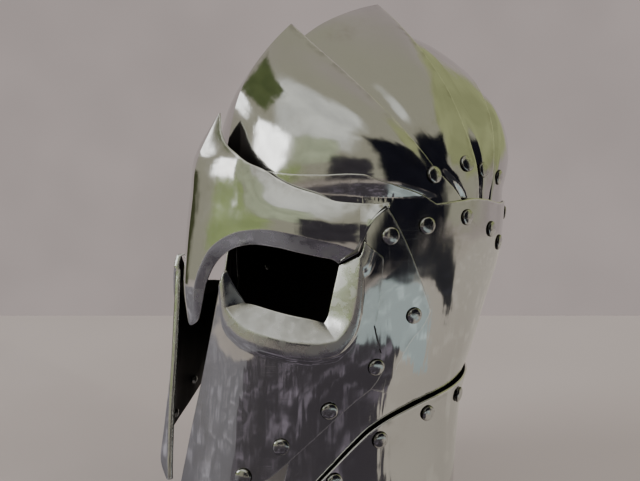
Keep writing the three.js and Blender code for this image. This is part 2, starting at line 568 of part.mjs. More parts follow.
// Turns of the rows of a lame: tucked under the lame before it, joggled clear, then on to its rear
function lameTurns(index, spread) {
  const front = lameEdge(LAMES[index], 'front', spread);
  const rear = lameEdge(LAMES[index], 'rear', spread);
  const lead = index === 0 ? [] : [0, 1].map((part) => lameEdge(LAMES[index - 1], 'rear', spread) + 1 + part * JOGGLE_TURN);
  const from = index === 0 ? front : lead[1];
  const rest = Array.from({ length: LAME_ROWS[index] }, (_, i) => from + (rear - from) * (i + 1) / LAME_ROWS[index]);
  return [front, ...lead, ...rest];
}

function buildLame(index) {
  const lame = LAMES[index];
  const spreads = [...LAME_SPREADS.slice(1).reverse().map((spread) => -spread), ...LAME_SPREADS];
  const outer = [];
  const inner = [];
  for (let row = 0; row < lameTurns(index, 0).length; row += 1) {
    const outerRow = [];
    const innerRow = [];
    for (const spread of spreads) {
      const turns = lameTurns(index, spread);
      const along = (turns[row] - turns[0]) / (turns[turns.length - 1] - turns[0]);
      const rise = lame.rise * along * along;
      outerRow.push(lamePoint(index, turns[row], spread, SHEET, rise));
      innerRow.push(lamePoint(index, turns[row], spread, 0, rise));
    }
    outer.push(outerRow);
    inner.push(innerRow);
  }
  return sheetGeometry(outer, inner);
}

// Solid of a closed geometry, and back
function toSolid(geometry) {
  const bare = new THREE.BufferGeometry();
  bare.setAttribute('position', geometry.getAttribute('position').clone());
  bare.setIndex(geometry.getIndex().clone());
  const merged = mergeVertices(bare, 1e-4);
  return new wasm.Manifold(new wasm.Mesh({
    numProp: 3,
    vertProperties: Float32Array.from(merged.getAttribute('position').array),
    triVerts: Uint32Array.from(merged.getIndex().array),
  }));
}

function toGeometry(solid) {
  const mesh = solid.getMesh();
  const geometry = new THREE.BufferGeometry();
  geometry.setAttribute('position', new THREE.BufferAttribute(Float32Array.from(mesh.vertProperties), 3));
  geometry.setIndex(new THREE.BufferAttribute(Uint32Array.from(mesh.triVerts), 1));
  return geometry;
}

// Body of revolution on a line from a point along a unit normal, from a closed profile
function turned(profile, origin, normal, sides) {
  const geometry = new THREE.LatheGeometry(profile.map(([r, h]) => new THREE.Vector2(r, h)), sides);
  geometry.deleteAttribute('normal');
  geometry.deleteAttribute('uv');
  const merged = mergeVertices(geometry, 1e-4);
  const turn = new THREE.Quaternion().setFromUnitVectors(new THREE.Vector3(0, 1, 0), normal);
  merged.applyQuaternion(turn);
  merged.translate(origin.x, origin.y, origin.z);
  return merged;
}

// The plates that a line along a normal runs through near its origin, and where it enters and leaves
function hitsAlong(origin, normal) {
  const ray = new THREE.Ray(origin.clone().addScaledVector(normal, -4 * FLANGE_DEPTH), normal);
  const corners = [new THREE.Vector3(), new THREE.Vector3(), new THREE.Vector3()];
  const hit = new THREE.Vector3();
  const found = { names: [], inner: Infinity, outer: -Infinity };
  for (const [name, geometry] of plates) {
    const position = geometry.getAttribute('position');
    const index = geometry.getIndex();
    for (let f = 0; f < index.count; f += 3) {
      corners.forEach((corner, k) => corner.fromBufferAttribute(position, index.getX(f + k)));
      if (!ray.intersectTriangle(...corners, false, hit)) continue;
      const at = hit.clone().sub(origin).dot(normal);
      if (Math.abs(at) > 8 * LAYER) continue;
      found.names.push(name);
      found.inner = Math.min(found.inner, at);
      found.outer = Math.max(found.outer, at);
    }
  }
  return found;
}

// What a rivet holds: the plates in the way of its shank, and the seats of its head and tail
function rivetGrip(origin, normal) {
  const sideways = new THREE.Vector3(0, 0, 1).cross(normal).normalize();
  const upward = normal.clone().cross(sideways);
  const middle = hitsAlong(origin, normal);
  const names = new Set(middle.names);
  let { inner, outer } = middle;
  for (let k = 0; k < RIVET_SIDES; k += 1) {
    const angle = 2 * Math.PI * k / RIVET_SIDES;
    const arm = sideways.clone().multiplyScalar(Math.cos(angle)).addScaledVector(upward, Math.sin(angle));
    outer = Math.max(outer, hitsAlong(origin.clone().addScaledVector(arm, RIVET_HEAD_RADIUS), normal).outer);
    const tail = hitsAlong(origin.clone().addScaledVector(arm, RIVET_TAIL_RADIUS), normal);
    inner = Math.min(inner, tail.inner);
    tail.names.forEach((name) => names.add(name));
  }
  return { names, inner, outer };
}

function rivetProfile(grip) {
  const seat = grip.outer + RIVET_CLEARANCE;
  const tail = grip.inner - RIVET_CLEARANCE;
  return [
    [0, tail - RIVET_TAIL_RISE],
    [RIVET_TAIL_RADIUS, tail],
    [RIVET_SHANK_RADIUS, tail],
    [RIVET_SHANK_RADIUS, seat],
    [RIVET_HEAD_RADIUS, seat],
    [0.78 * RIVET_HEAD_RADIUS, seat + 0.75 * RIVET_HEAD_RISE],
    [0, seat + RIVET_HEAD_RISE],
  ];
}

function holeProfile(grip) {
  const radius = RIVET_SHANK_RADIUS + RIVET_CLEARANCE;
  const over = 4 * SHEET;
  return [[0, grip.inner - over], [radius, grip.inner - over], [radius, grip.outer + over], [0, grip.outer + over]];
}

// Plates by name; a paired plate has its hand in the name
const plates = new Map();
LAMES.forEach((lame, index) => plates.set(lame.name, buildLame(index)));
plates.set('side_plate', buildSidePlate());
plates.set('neck_lame', buildNeckLame());
plates.set('brow_nasal', buildBrowNasal());
for (const [side, hand] of [['left', 1], ['right', -1]]) {
  plates.set(`temple_plate_${side}`, buildTemplePlate(hand));
  plates.set(`cheek_plate_${side}`, buildCheekPlate(hand));
}

// Rivet lines: origin on the body form and outward normal, for one hand
function rivetLine(rivet, hand) {
  if ('spread' in rivet) {
    const p = lamePoint(0, rivet.turn, hand * rivet.spread, 0, 0);
    return { origin: p, normal: normalOf(skullForm, p, false) };
  }
  const origin = platePoint(plateForm, hand * rivet.turn, rivet.height * EAR_HEIGHT, 0);
  return { origin, normal: normalOf(plateForm, origin, false) };
}

const solids = new Map([...plates].map(([name, geometry]) => [name, toSolid(geometry)]));
const rivets = [];
for (const [side, hand] of [['left', 1], ['right', -1]]) {
  for (const rivet of [...LAME_RIVETS, ...PLATE_RIVETS]) {
    const { origin, normal } = rivetLine(rivet, hand);
    const grip = rivetGrip(origin, normal);
    const hole = toSolid(turned(holeProfile(grip), origin, normal, HOLE_SIDES));
    for (const name of grip.names) solids.set(name, solids.get(name).subtract(hole));
    rivets.push({ name: `${rivet.name}_${side}`, geometry: turned(rivetProfile(grip), origin, normal, RIVET_SIDES) });
  }
}

const helm = new THREE.Group();
const steel = new THREE.MeshStandardMaterial(STEEL);
const rivetSteel = new THREE.MeshStandardMaterial(RIVET_STEEL);

function addMesh(name, geometry, material) {
  const mesh = new THREE.Mesh(geometry, material.clone());
  mesh.name = name;
  helm.add(mesh);
}

for (const [name, solid] of solids) addMesh(name, toGeometry(solid), steel);
for (const rivet of rivets) addMesh(rivet.name, rivet.geometry, rivetSteel);

// The helm stands on the level edge of the neck lame, with its box centred front to back
const box = new THREE.Box3().setFromObject(helm);
helm.position.y = -(box.min.y + box.max.y) / 2;

export default helm;
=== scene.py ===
"""Finished look of a war helm of riveted, mirror-polished plates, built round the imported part.

The sheets are shaped in millimetres and become meshes in metres. The wearer faces -Y.
"""

import logging
import math
from collections.abc import Callable, Sequence
from dataclasses import dataclass, field
from enum import Enum

import bpy
import numpy as np
from mathutils import Matrix, Vector


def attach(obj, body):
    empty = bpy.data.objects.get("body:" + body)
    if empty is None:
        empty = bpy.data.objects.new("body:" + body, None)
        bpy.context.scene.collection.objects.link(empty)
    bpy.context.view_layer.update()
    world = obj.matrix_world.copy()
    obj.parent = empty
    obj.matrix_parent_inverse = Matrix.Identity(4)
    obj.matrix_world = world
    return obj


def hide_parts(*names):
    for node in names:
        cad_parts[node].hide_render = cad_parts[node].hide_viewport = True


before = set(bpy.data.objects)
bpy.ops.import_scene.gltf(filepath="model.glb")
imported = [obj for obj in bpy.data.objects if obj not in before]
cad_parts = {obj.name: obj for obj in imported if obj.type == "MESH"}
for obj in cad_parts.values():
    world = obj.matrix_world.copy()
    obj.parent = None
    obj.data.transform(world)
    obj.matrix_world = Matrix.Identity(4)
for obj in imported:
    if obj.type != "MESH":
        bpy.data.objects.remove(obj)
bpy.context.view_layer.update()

LOG = logging.getLogger("helm")
MM = 0.001
TINY = 1e-9
SHEET = 1.4
LAYER = 2.0
SKULL_RISE = 111.0
SKULL_REACH = 101.0
NAPE_REACH = 112.6
LONGEST_CAST = 300.0
CAST_HALVINGS = 34
EDGE_SUPPORT = 0.35
Array = np.ndarray
Gauge = Callable[[np.ndarray], np.ndarray]
Triple = tuple[float, float, float]
Colour = Triple
Material = bpy.types.Material
Socket = bpy.types.NodeSocket
Controls = tuple[Array, Array, tuple[int, ...], tuple[int, ...]]


class Hand(Enum):
    """The wearer's side that a paired plate is on."""

    LEFT = 1.0
    RIGHT = -1.0


class Slot(Enum):
    """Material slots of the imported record."""

    PLATES = "plate_steel"
    RIVETS = "rivet_steel"


# Form of the helm


def hermite(first: Array, rise: Array, start: Array, end: Array, share: Array) -> Array:
    """Cubic piece that starts at a value and has given slopes at its two ends.

    Args:
        first: value at the start of the piece.
        rise: how much it gains over the piece.
        start: slope at its start, over the piece.
        end: slope at its end, over the piece.
        share: how far along the piece, from nought to one.

    Returns:
        The values.
    """
    bend = 3 * rise - 2 * start - end
    return first + start * share + bend * share**2 + (start + end - 2 * rise) * share**3


def eased(share: Array) -> Array:
    """A share from nought to one that starts and ends gently."""
    return share**2 * (3 - 2 * share)


@dataclass
class Table:
    """Rows of named columns that are read smoothly by the value in the first column.

    softness is how far each value is blended with its neighbours, in the first column's unit.
    """

    columns: tuple[str, ...]
    rows: tuple[tuple[float, ...], ...]
    softness: float = 0.0
    samples: int = 1201
    dense: dict[str, Array] = field(default_factory=dict, repr=False)

    def __post_init__(self) -> None:
        """Works out each column at closely spaced places."""
        keys = self.column(self.columns[0])
        at = np.linspace(keys[0], keys[-1], self.samples)
        self.dense[self.columns[0]] = at
        for name in self.columns[1:]:
            self.dense[name] = self._softened(self._curve(keys, self.column(name), at), at)

    def column(self, name: str) -> Array:
        """The numbers of one column."""
        return np.array([row[self.columns.index(name)] for row in self.rows], float)

    def at(self, name: str, where: Array) -> Array:
        """The value of a column at places along the first one."""
        return np.interp(where, self.dense[self.columns[0]], self.dense[name])

    @staticmethod
    def _curve(keys: Array, values: Array, at: Array) -> Array:
        """Cubic pieces through the rows of a column.

        Args:
            keys: places of the rows.
            values: the column.
            at: places to read.

        Returns:
            The values there.
        """
        slopes = np.diff(values) / np.diff(keys)
        ends = np.concatenate(([slopes[0]], (slopes[:-1] + slopes[1:]) / 2, [slopes[-1]]))
        i = np.clip(np.searchsorted(keys, at, side="right") - 1, 0, len(keys) - 2)
        width = keys[i + 1] - keys[i]
        share = (at - keys[i]) / width
        return hermite(values[i], values[i + 1] - values[i], ends[i] * width, ends[i + 1] * width, share)

    def _softened(self, values: Array, at: Array) -> Array:
        """The values blended with their neighbours; the two ends keep theirs.

        Args:
            values: closely spaced values.
            at: their places.

        Returns:
            The blended values.
        """
        if not self.softness:
            return values
        step = at[1] - at[0]
        reach = min(int(3 * self.softness / step), len(values) - 1)
        kernel = np.exp(-0.5 * (np.arange(-reach, reach + 1) * step / self.softness) ** 2)
        before = 2 * values[0] - values[reach:0:-1]
        after = 2 * values[-1] - values[-2 : -reach - 2 : -1]
        padded = np.concatenate((before, values, after))
        return np.convolve(padded, kernel / kernel.sum(), mode="valid")


@dataclass
class HelmForm:
    """The closed forms that the plates follow, and points on them, in millimetres.

    A rise is measured from the ears upwards and a reach from the middle forwards or backwards.
    The tables hold shares of these sizes, and their blunt columns are powers.
    """

    ear_height: float = 232.0
    skull_rise: float = SKULL_RISE
    half_width: float = 98.6
    face_reach: float = 124.5
    brow_share: float = 0.932
    skull_reach: float = SKULL_REACH
    nape_reach: float = NAPE_REACH
    nape_blunt: float = 2.1
    forward_shift: float = 10.095
    fan_back: float = 0.355
    fan_drop: float = 0.164
    keel_blend: float = 5.0
    body: Table = field(
        default_factory=lambda: Table(
            ("height", "side", "front", "back", "blunt"),
            (
                (0.0, 0.842, 1.076, 0.586, 3.0),
                (0.181, 0.822, 1.068, 0.616, 2.9),
                (0.284, 0.816, 1.047, 0.643, 2.7),
                (0.384, 0.832, 1.028, 0.652, 2.5),
                (0.453, 0.852, 1.016, 0.684, 2.35),
                (0.526, 0.892, 1.004, 0.751, 2.2),
                (0.664, 0.948, 0.996, 0.844, 1.95),
                (0.797, 0.989, 1.0, 0.955, 1.72),
                (0.892, 1.0, 0.948, 0.986, 1.62),
                (1.0, 1.0, 0.811, 1.0, 1.72),
            ),
            softness=0.02,
        )
    )
    brow: Table = field(
        default_factory=lambda: Table(
            ("height", "side", "front", "blunt"),
            (
                (0.64, 0.93, 0.983, 1.6),
                (0.737, 0.97, 1.0, 1.6),
                (0.823, 0.992, 0.985, 1.62),
                (0.905, 1.0, 0.966, 1.64),
                (0.991, 1.0, 0.94, 1.64),
                (1.09, 0.985, 0.914, 1.62),
                (1.116, 0.972, 0.888, 1.62),
                (1.216, 0.9, 0.776, 1.62),
            ),
            softness=0.02,
        )
    )
    keel: Table = field(
        default_factory=lambda: Table(
            ("turn", "reach", "crest"),
            (
                (-30, 0.93, 1.7),
                (0, SKULL_REACH / SKULL_RISE, 1.7),
                (13, 0.868, 1.98),
                (26, 0.888, 1.88),
                (39, 0.924, 1.76),
                (52, 0.94, 1.5),
                (64, 0.961, 1.05),
                (77, 0.994, 1.0),
                (90, 1.008, 1.11),
                (102, 1.033, 1.3),
                (115, 1.064, 1.33),
                (127, 1.112, 1.26),
                (138, 1.143, 1.47),
                (151, 1.152, 1.92),
                (165, 1.108, 2.15),
                (180, NAPE_REACH / SKULL_RISE, 2.1),
            ),
            softness=4.0,
        )
    )
    arch: Table = field(
        default_factory=lambda: Table(
            ("turn", "power"),
            ((0, 1.7), (25, 2.0), (150, 2.0), (180, 2.1)),
            softness=4.0,
        )
    )

    def _section(self, p: Array, side: Array, front: Array, back: Array, blunt: Array) -> Array:
        """One for a point on a level section, less inside and more outside.

        Args:
            p: points.
            side: half the width.
            front: reach in front.
            back: reach behind.
            blunt: power of the front half.

        Returns:
            The gauge of each point.
        """
        power = np.where(p[..., 1] < 0, blunt, self.nape_blunt)
        reach = np.where(p[..., 1] < 0, front, back)
        return (np.abs(p[..., 0]) / side) ** power + (np.abs(p[..., 1]) / reach) ** power

    def _body_gauge(self, p: Array, hug_skull: bool) -> Array:
        """The skull and body as one form.

        Args:
            p: points.
            hug_skull: whether the front keeps to the skull below the ear line.

        Returns:
            One on the form, less inside it.
        """
        rise = p[..., 2] - self.ear_height
        turn = np.degrees(np.arctan2(rise, -p[..., 1]))
        reach = self.keel.at("reach", turn) * self.skull_rise
        arched = (np.abs(p[..., 0]) / self.half_width) ** self.keel.at("crest", turn)
        arched = arched + (np.hypot(p[..., 1], rise) / reach) ** self.arch.at("power", turn)
        height = p[..., 2] / self.ear_height
        front = self.body.at("front", height) * self.face_reach
        blunt = self.body.at("blunt", height)
        if hug_skull:
            front, blunt = self.skull_reach + 0 * height, self.keel.rows[0][2] + 0 * height
        side = self.body.at("side", height) * self.half_width
        back = self.body.at("back", height) * self.nape_reach
        return np.where(rise > 0, arched, self._section(p, side, front, back, blunt))

    def plate_gauge(self, p: Array) -> Array:
        """Gauge of the form that the face and neck plates follow."""
        return self._body_gauge(p, False)

    def skull_gauge(self, p: Array) -> Array:
        """Gauge of the form that the skull's lames follow."""
        return self._body_gauge(p, True)

    def brow_gauge(self, p: Array) -> Array:
        """Gauge of the form that the brow and nasal follow.

        Args:
            p: points.

        Returns:
            One on the form, less inside it.
        """
        height = p[..., 2] / self.ear_height
        side = self.brow.at("side", height) * self.half_width
        front = self.brow.at("front", height) * (self.brow_share * self.face_reach)
        back = self.nape_reach + 0 * height
        return self._section(p, side, front, back, self.brow.at("blunt", height))

    @staticmethod
    def cast(gauge: Gauge, start: Array, along: Array) -> Array:
        """Points where lines from inside a form leave it.

        Args:
            gauge: the form.
            start: points inside it.
            along: unit directions.

        Returns:
            The points on the form.
        """
        near = np.zeros(along.shape[:-1])
        far = near + LONGEST_CAST
        for _ in range(CAST_HALVINGS):
            middle = (near + far) / 2
            inside = gauge(start + along * middle[..., None]) < 1
            near = np.where(inside, middle, near)
            far = np.where(inside, far, middle)
        return start + along * near[..., None]

    @staticmethod
    def normals(gauge: Gauge, p: Array, level: bool) -> Array:
        """Outward unit normals of a form at points on it, level ones if asked.

        Args:
            gauge: the form.
            p: points on it.
            level: whether the normals are made level.

        Returns:
            The normals.
        """
        step = 0.6
        parts = []
        for axis in range(3):
            away = np.zeros(3)
            away[axis] = step
            parts.append(gauge(p + away) - gauge(p - away))
        normal = np.stack(parts, axis=-1)
        if level:
            normal[..., 2] = 0
        return normal / np.linalg.norm(normal, axis=-1, keepdims=True)

    def plate_points(self, gauge: Gauge, turn: Array, height: Array, out: Array) -> Array:
        """Points of a plate.

        Args:
            gauge: the form that it follows.
            turn: turns from the front, in degrees.
            height: heights, in millimetres.
            out: how far out from the form, along its level normal.

        Returns:
            The points.
        """
        angle = np.radians(turn)
        zero = np.zeros_like(angle)
        start = np.stack((zero, zero, height), axis=-1)
        along = np.stack((np.sin(angle), -np.cos(angle), zero), axis=-1)
        foot = self.cast(gauge, start, along)
        return foot + self.normals(gauge, foot, True) * out[..., None]

    @property
    def fan_point(self) -> Array:
        """The hidden point that the skull's lames fan out from."""
        return np.array((0.0, self.fan_back * self.nape_reach, self.ear_height * (1 - self.fan_drop)))

    def fan_points(self, turn: Array, spread: Array, out: Array, lift: Array) -> Array:
        """Points of a lame.

        Args:
            turn: turns about the fan point from the front, in degrees.
            spread: turns away from the keel, in degrees.
            out: how far out from the skull, along its normal.
            lift: how far further out along the line from the fan point.

        Returns:
            The points.
        """
        t, s = np.radians(turn), np.radians(spread)
        parts = (np.sin(s), -np.cos(s) * np.cos(t), np.cos(s) * np.sin(t))
        along = np.stack(parts, axis=-1)
        foot = self.cast(self.skull_gauge, self.fan_point + 0 * along, along)
        normal = self.normals(self.skull_gauge, foot, False)
        normal[..., 0] *= eased(np.clip(np.abs(spread) / self.keel_blend, 0, 1))
        return foot + normal * out[..., None] + along * lift[..., None]

    def placed(self, points: Array) -> Array:
        """Points in metres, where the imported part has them."""
        return (points + np.array((0.0, self.forward_shift, 0.0))) * MM


# Sheets


def monotone(keys: Array, values: Array, at: Array) -> Array:
    """Smooth curve through rows of values that never swings past them.

    Args:
        keys: rising places of the rows.
        values: the rows, along the first axis.
        at: places to read.

    Returns:
        The rows at those places.
    """
    if len(keys) == 2:
        share = ((at - keys[0]) / (keys[1] - keys[0])).reshape((-1,) + (1,) * (values.ndim - 1))
        return values[0] * (1 - share) + values[1] * share
    shape = (-1,) + (1,) * (values.ndim - 1)
    width = np.diff(keys).reshape(shape)
    slope = np.diff(values, axis=0) / width
    ahead = 2 * width[1:] + width[:-1]
    behind = width[1:] + 2 * width[:-1]
    same = slope[:-1] * slope[1:] > 0
    safe = np.where(same, slope[:-1] * slope[1:], 1.0)
    weighed = ahead * slope[1:] + behind * slope[:-1] + (~same)
    inner = np.where(same, (ahead + behind) * safe / weighed, 0.0)
    first, last = 1.5 * slope[:1] - 0.5 * inner[:1], 1.5 * slope[-1:] - 0.5 * inner[-1:]
    ends = np.concatenate((first, inner, last))
    i = np.clip(np.searchsorted(keys, at, side="right") - 1, 0, len(keys) - 2)
    gap = width[i]
    share = (at - keys[i]).reshape(shape) / gap
    return hermite(values[i], values[i + 1] - values[i], ends[i] * gap, ends[i + 1] * gap, share)


def spaced(length: float, step: float, support: float = EDGE_SUPPORT) -> Array:
    """Places along a length, even but for one close to each end.

    Args:
        length: the whole length.
        step: about how far apart the places are.
        support: how far from its end the close one is.

    Returns:
        The places.
    """
    count = max(2, int(round(length / step)))
    inner = np.linspace(0, length, count + 1)
    return np.unique(np.concatenate((inner, [support, length - support])))


@dataclass
class SheetMesh:
    """A wall of even thickness between its outer grid of points and the inner one.

    core_back and core_top place the upright line inside the helm that outer faces look away from.
    """

    outer: Array
    thickness: float = SHEET
    dull: Array | None = None
    bulge: float = 0.4
    sharp_rows: Sequence[int] = ()
    sharp_columns: Sequence[int] = ()
    rim_steps: int = 4
    core_back: float = 20.0
    core_top: float = 200.0

    def grid_normals(self) -> Array:
        """Outward unit normals of the outer grid.

        Returns:
            A normal for each point.
        """
        rows = np.gradient(self.outer, axis=0)
        columns = np.gradient(self.outer, axis=1)
        normal = np.cross(rows, columns)
        normal /= np.maximum(np.linalg.norm(normal, axis=-1, keepdims=True), TINY)
        radial = self.outer - np.array((0.0, self.core_back, 0.0))
        radial[..., 2] = np.maximum(radial[..., 2] - self.core_top, 0.0)
        return normal if (normal * radial).sum() > 0 else -normal

    def rim_distance(self) -> Array:
        """Distance of each grid point from the nearest edge of the sheet.

        Returns:
            A length for each point.
        """
        along_rows = np.linalg.norm(np.diff(self.outer, axis=0), axis=-1)
        along_columns = np.linalg.norm(np.diff(self.outer, axis=1), axis=-1)
        down = np.pad(np.cumsum(along_rows, axis=0), ((1, 0), (0, 0)))
        across = np.pad(np.cumsum(along_columns, axis=1), ((0, 0), (1, 0)))
        return np.minimum.reduce((down, down[-1:] - down, across, across[:, -1:] - across))

    def _ring(self) -> tuple[Array, Array]:
        """Grid places round the edge in order, and the place just inside each.

        Returns:
            Both, as rows and columns of the grid.
        """
        rows, columns = self.outer.shape[:2]
        edge = [(i, 0) for i in range(rows)]
        edge += [(rows - 1, j) for j in range(1, columns)]
        edge += [(i, columns - 1) for i in range(rows - 2, -1, -1)]
        edge += [(0, j) for j in range(columns - 2, 0, -1)]
        place = np.array(edge)
        return place, np.clip(place, 1, (rows - 2, columns - 2))

    def _rim_loops(self, inner: Array, normals: Array, place: Array, inside: Array) -> list[Array]:
        """Loops of points that round the edge off, from the outer face to the inner one.

        Args:
            inner: the inner grid.
            normals: outward normals of the outer one.
            place: grid places round the edge.
            inside: the place just inside each.

        Returns:
            The loops.
        """
        ring_outer = self.outer[place[:, 0], place[:, 1]]
        ring_inner = inner[place[:, 0], place[:, 1]]
        ring_normal = normals[place[:, 0], place[:, 1]]
        outward = ring_outer - self.outer[inside[:, 0], inside[:, 1]]
        outward -= ring_normal * (outward * ring_normal).sum(axis=1, keepdims=True)
        outward /= np.maximum(np.linalg.norm(outward, axis=1, keepdims=True), TINY)
        loops = []
        for k in range(1, self.rim_steps):
            angle = math.pi * k / self.rim_steps
            middle = (ring_outer + ring_inner) / 2 + (ring_outer - ring_inner) / 2 * math.cos(angle)
            loops.append(middle + outward * self.bulge * math.sin(angle))
        return loops

    def _rim_faces(self, ring: Array, count: int) -> list[Array]:
        """Bands of faces between the loops.

        Args:
            ring: numbers of the points round the outer grid.
            count: how many points each grid has.

        Returns:
            The bands.
        """
        chain = [ring]
        chain += [2 * count + k * len(ring) + np.arange(len(ring)) for k in range(self.rim_steps - 1)]
        chain.append(ring + count)
        bands = []
        for upper, lower in zip(chain[:-1], chain[1:]):
            bands.append(np.stack((upper, lower, np.roll(lower, -1), np.roll(upper, -1)), axis=-1))
        return bands

    def build(self, name: str, form: HelmForm) -> bpy.types.Mesh:
        """Makes the closed mesh with its rounded edge.

        Args:
            name: name of the mesh.
            form: gives the place of the points in the part.

        Returns:
            The mesh, in metres, with the attributes rim_mm, inside and dull.
        """
        rows, columns = self.outer.shape[:2]
        normals = self.grid_normals()
        inner = self.outer - normals * self.thickness
        place, inside = self._ring()
        loops = self._rim_loops(inner, normals, place, inside)
        points = np.concatenate((self.outer.reshape(-1, 3), inner.reshape(-1, 3), *loops))
        count = rows * columns
        index = np.arange(count).reshape(rows, columns)
        corners = (index[:-1, :-1], index[1:, :-1], index[1:, 1:], index[:-1, 1:])
        quads = np.stack(corners, axis=-1).reshape(-1, 4)
        rim_faces = self._rim_faces(index[place[:, 0], place[:, 1]], count)
        faces = np.concatenate((quads, quads[:, ::-1] + count, *rim_faces))
        faces = self._facing_out(points, faces, quads, normals)
        mesh = bpy.data.meshes.new(name)
        mesh.from_pydata(form.placed(points).tolist(), [], faces.tolist())
        rim = self.rim_distance().ravel()
        side = np.zeros(len(points))
        side[count : 2 * count] = 1
        extra = np.zeros(len(points) - 2 * count)
        self._store(mesh, "rim_mm", np.concatenate((rim, rim, extra)))
        self._store(mesh, "inside", side)
        dull = np.zeros((rows, columns)) if self.dull is None else self.dull
        edge = np.tile(dull[place[:, 0], place[:, 1]], self.rim_steps - 1)
        self._store(mesh, "dull", np.concatenate((dull.ravel(), dull.ravel(), edge)))
        mesh.shade_smooth()
        self._mark_sharp(mesh, index, count)
        mesh.validate()
        return mesh

    @staticmethod
    def _facing_out(points: Array, faces: Array, quads: Array, normals: Array) -> Array:
        """The faces, turned so that they point out of the wall.

        Args:
            points: all the points.
            faces: all the faces.
            quads: the outer grid's faces.
            normals: outward normals of the outer grid.

        Returns:
            The faces.
        """
        a, b, c = (points[quads[:, k]] for k in range(3))
        facing = np.cross(b - a, c - b)
        outward = normals.reshape(-1, 3)[quads[:, 0]]
        return faces if (facing * outward).sum() > 0 else faces[:, ::-1]

    @staticmethod
    def _store(mesh: bpy.types.Mesh, name: str, values: Array) -> None:
        """Keeps one number for each vertex."""
        attribute = mesh.attributes.new(name, "FLOAT", "POINT")
        attribute.data.foreach_set("value", values.astype(np.float32))

    def _mark_sharp(self, mesh: bpy.types.Mesh, index: Array, count: int) -> None:
        """Marks the creases along rows and columns of the grids as sharp.

        Args:
            mesh: the wall.
            index: numbers of the outer grid's points.
            count: how many those are.
        """
        pairs = []
        for row in self.sharp_rows:
            pairs.append(np.stack((index[row, :-1], index[row, 1:]), axis=1))
        for column in self.sharp_columns:
            pairs.append(np.stack((index[:-1, column], index[1:, column]), axis=1))
        if not pairs:
            return
        wanted = np.concatenate([np.concatenate(pairs), np.concatenate(pairs) + count])
        ends = np.zeros(len(mesh.edges) * 2, np.int32)
        mesh.edges.foreach_get("vertices", ends)
        ends = np.sort(ends.reshape(-1, 2), axis=1).astype(np.int64)
        wanted = np.sort(wanted, axis=1).astype(np.int64)
        size = len(mesh.vertices)
        flags = np.isin(ends[:, 0] * size + ends[:, 1], wanted[:, 0] * size + wanted[:, 1])
        sharp = mesh.attributes.new("sharp_edge", "BOOLEAN", "EDGE")
        sharp.data.foreach_set("value", flags)


def show(mesh: bpy.types.Mesh, material: Material, nodes: Sequence[str]) -> bpy.types.Object:
    """Puts a finished mesh into the scene as a piece of the helm.

    Args:
        mesh: the piece, in its place.
        material: its finish.
        nodes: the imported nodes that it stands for.

    Returns:
        The piece.
    """
    piece = bpy.data.objects.new(mesh.name, mesh)
    bpy.context.scene.collection.objects.link(piece)
    piece.data.materials.clear()
    piece.data.materials.append(material)
    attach(piece, "root")
    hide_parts(*nodes)
    LOG.info("%s: %d faces, for %s", piece.name, len(mesh.polygons), ", ".join(nodes[:3]))
    return piece


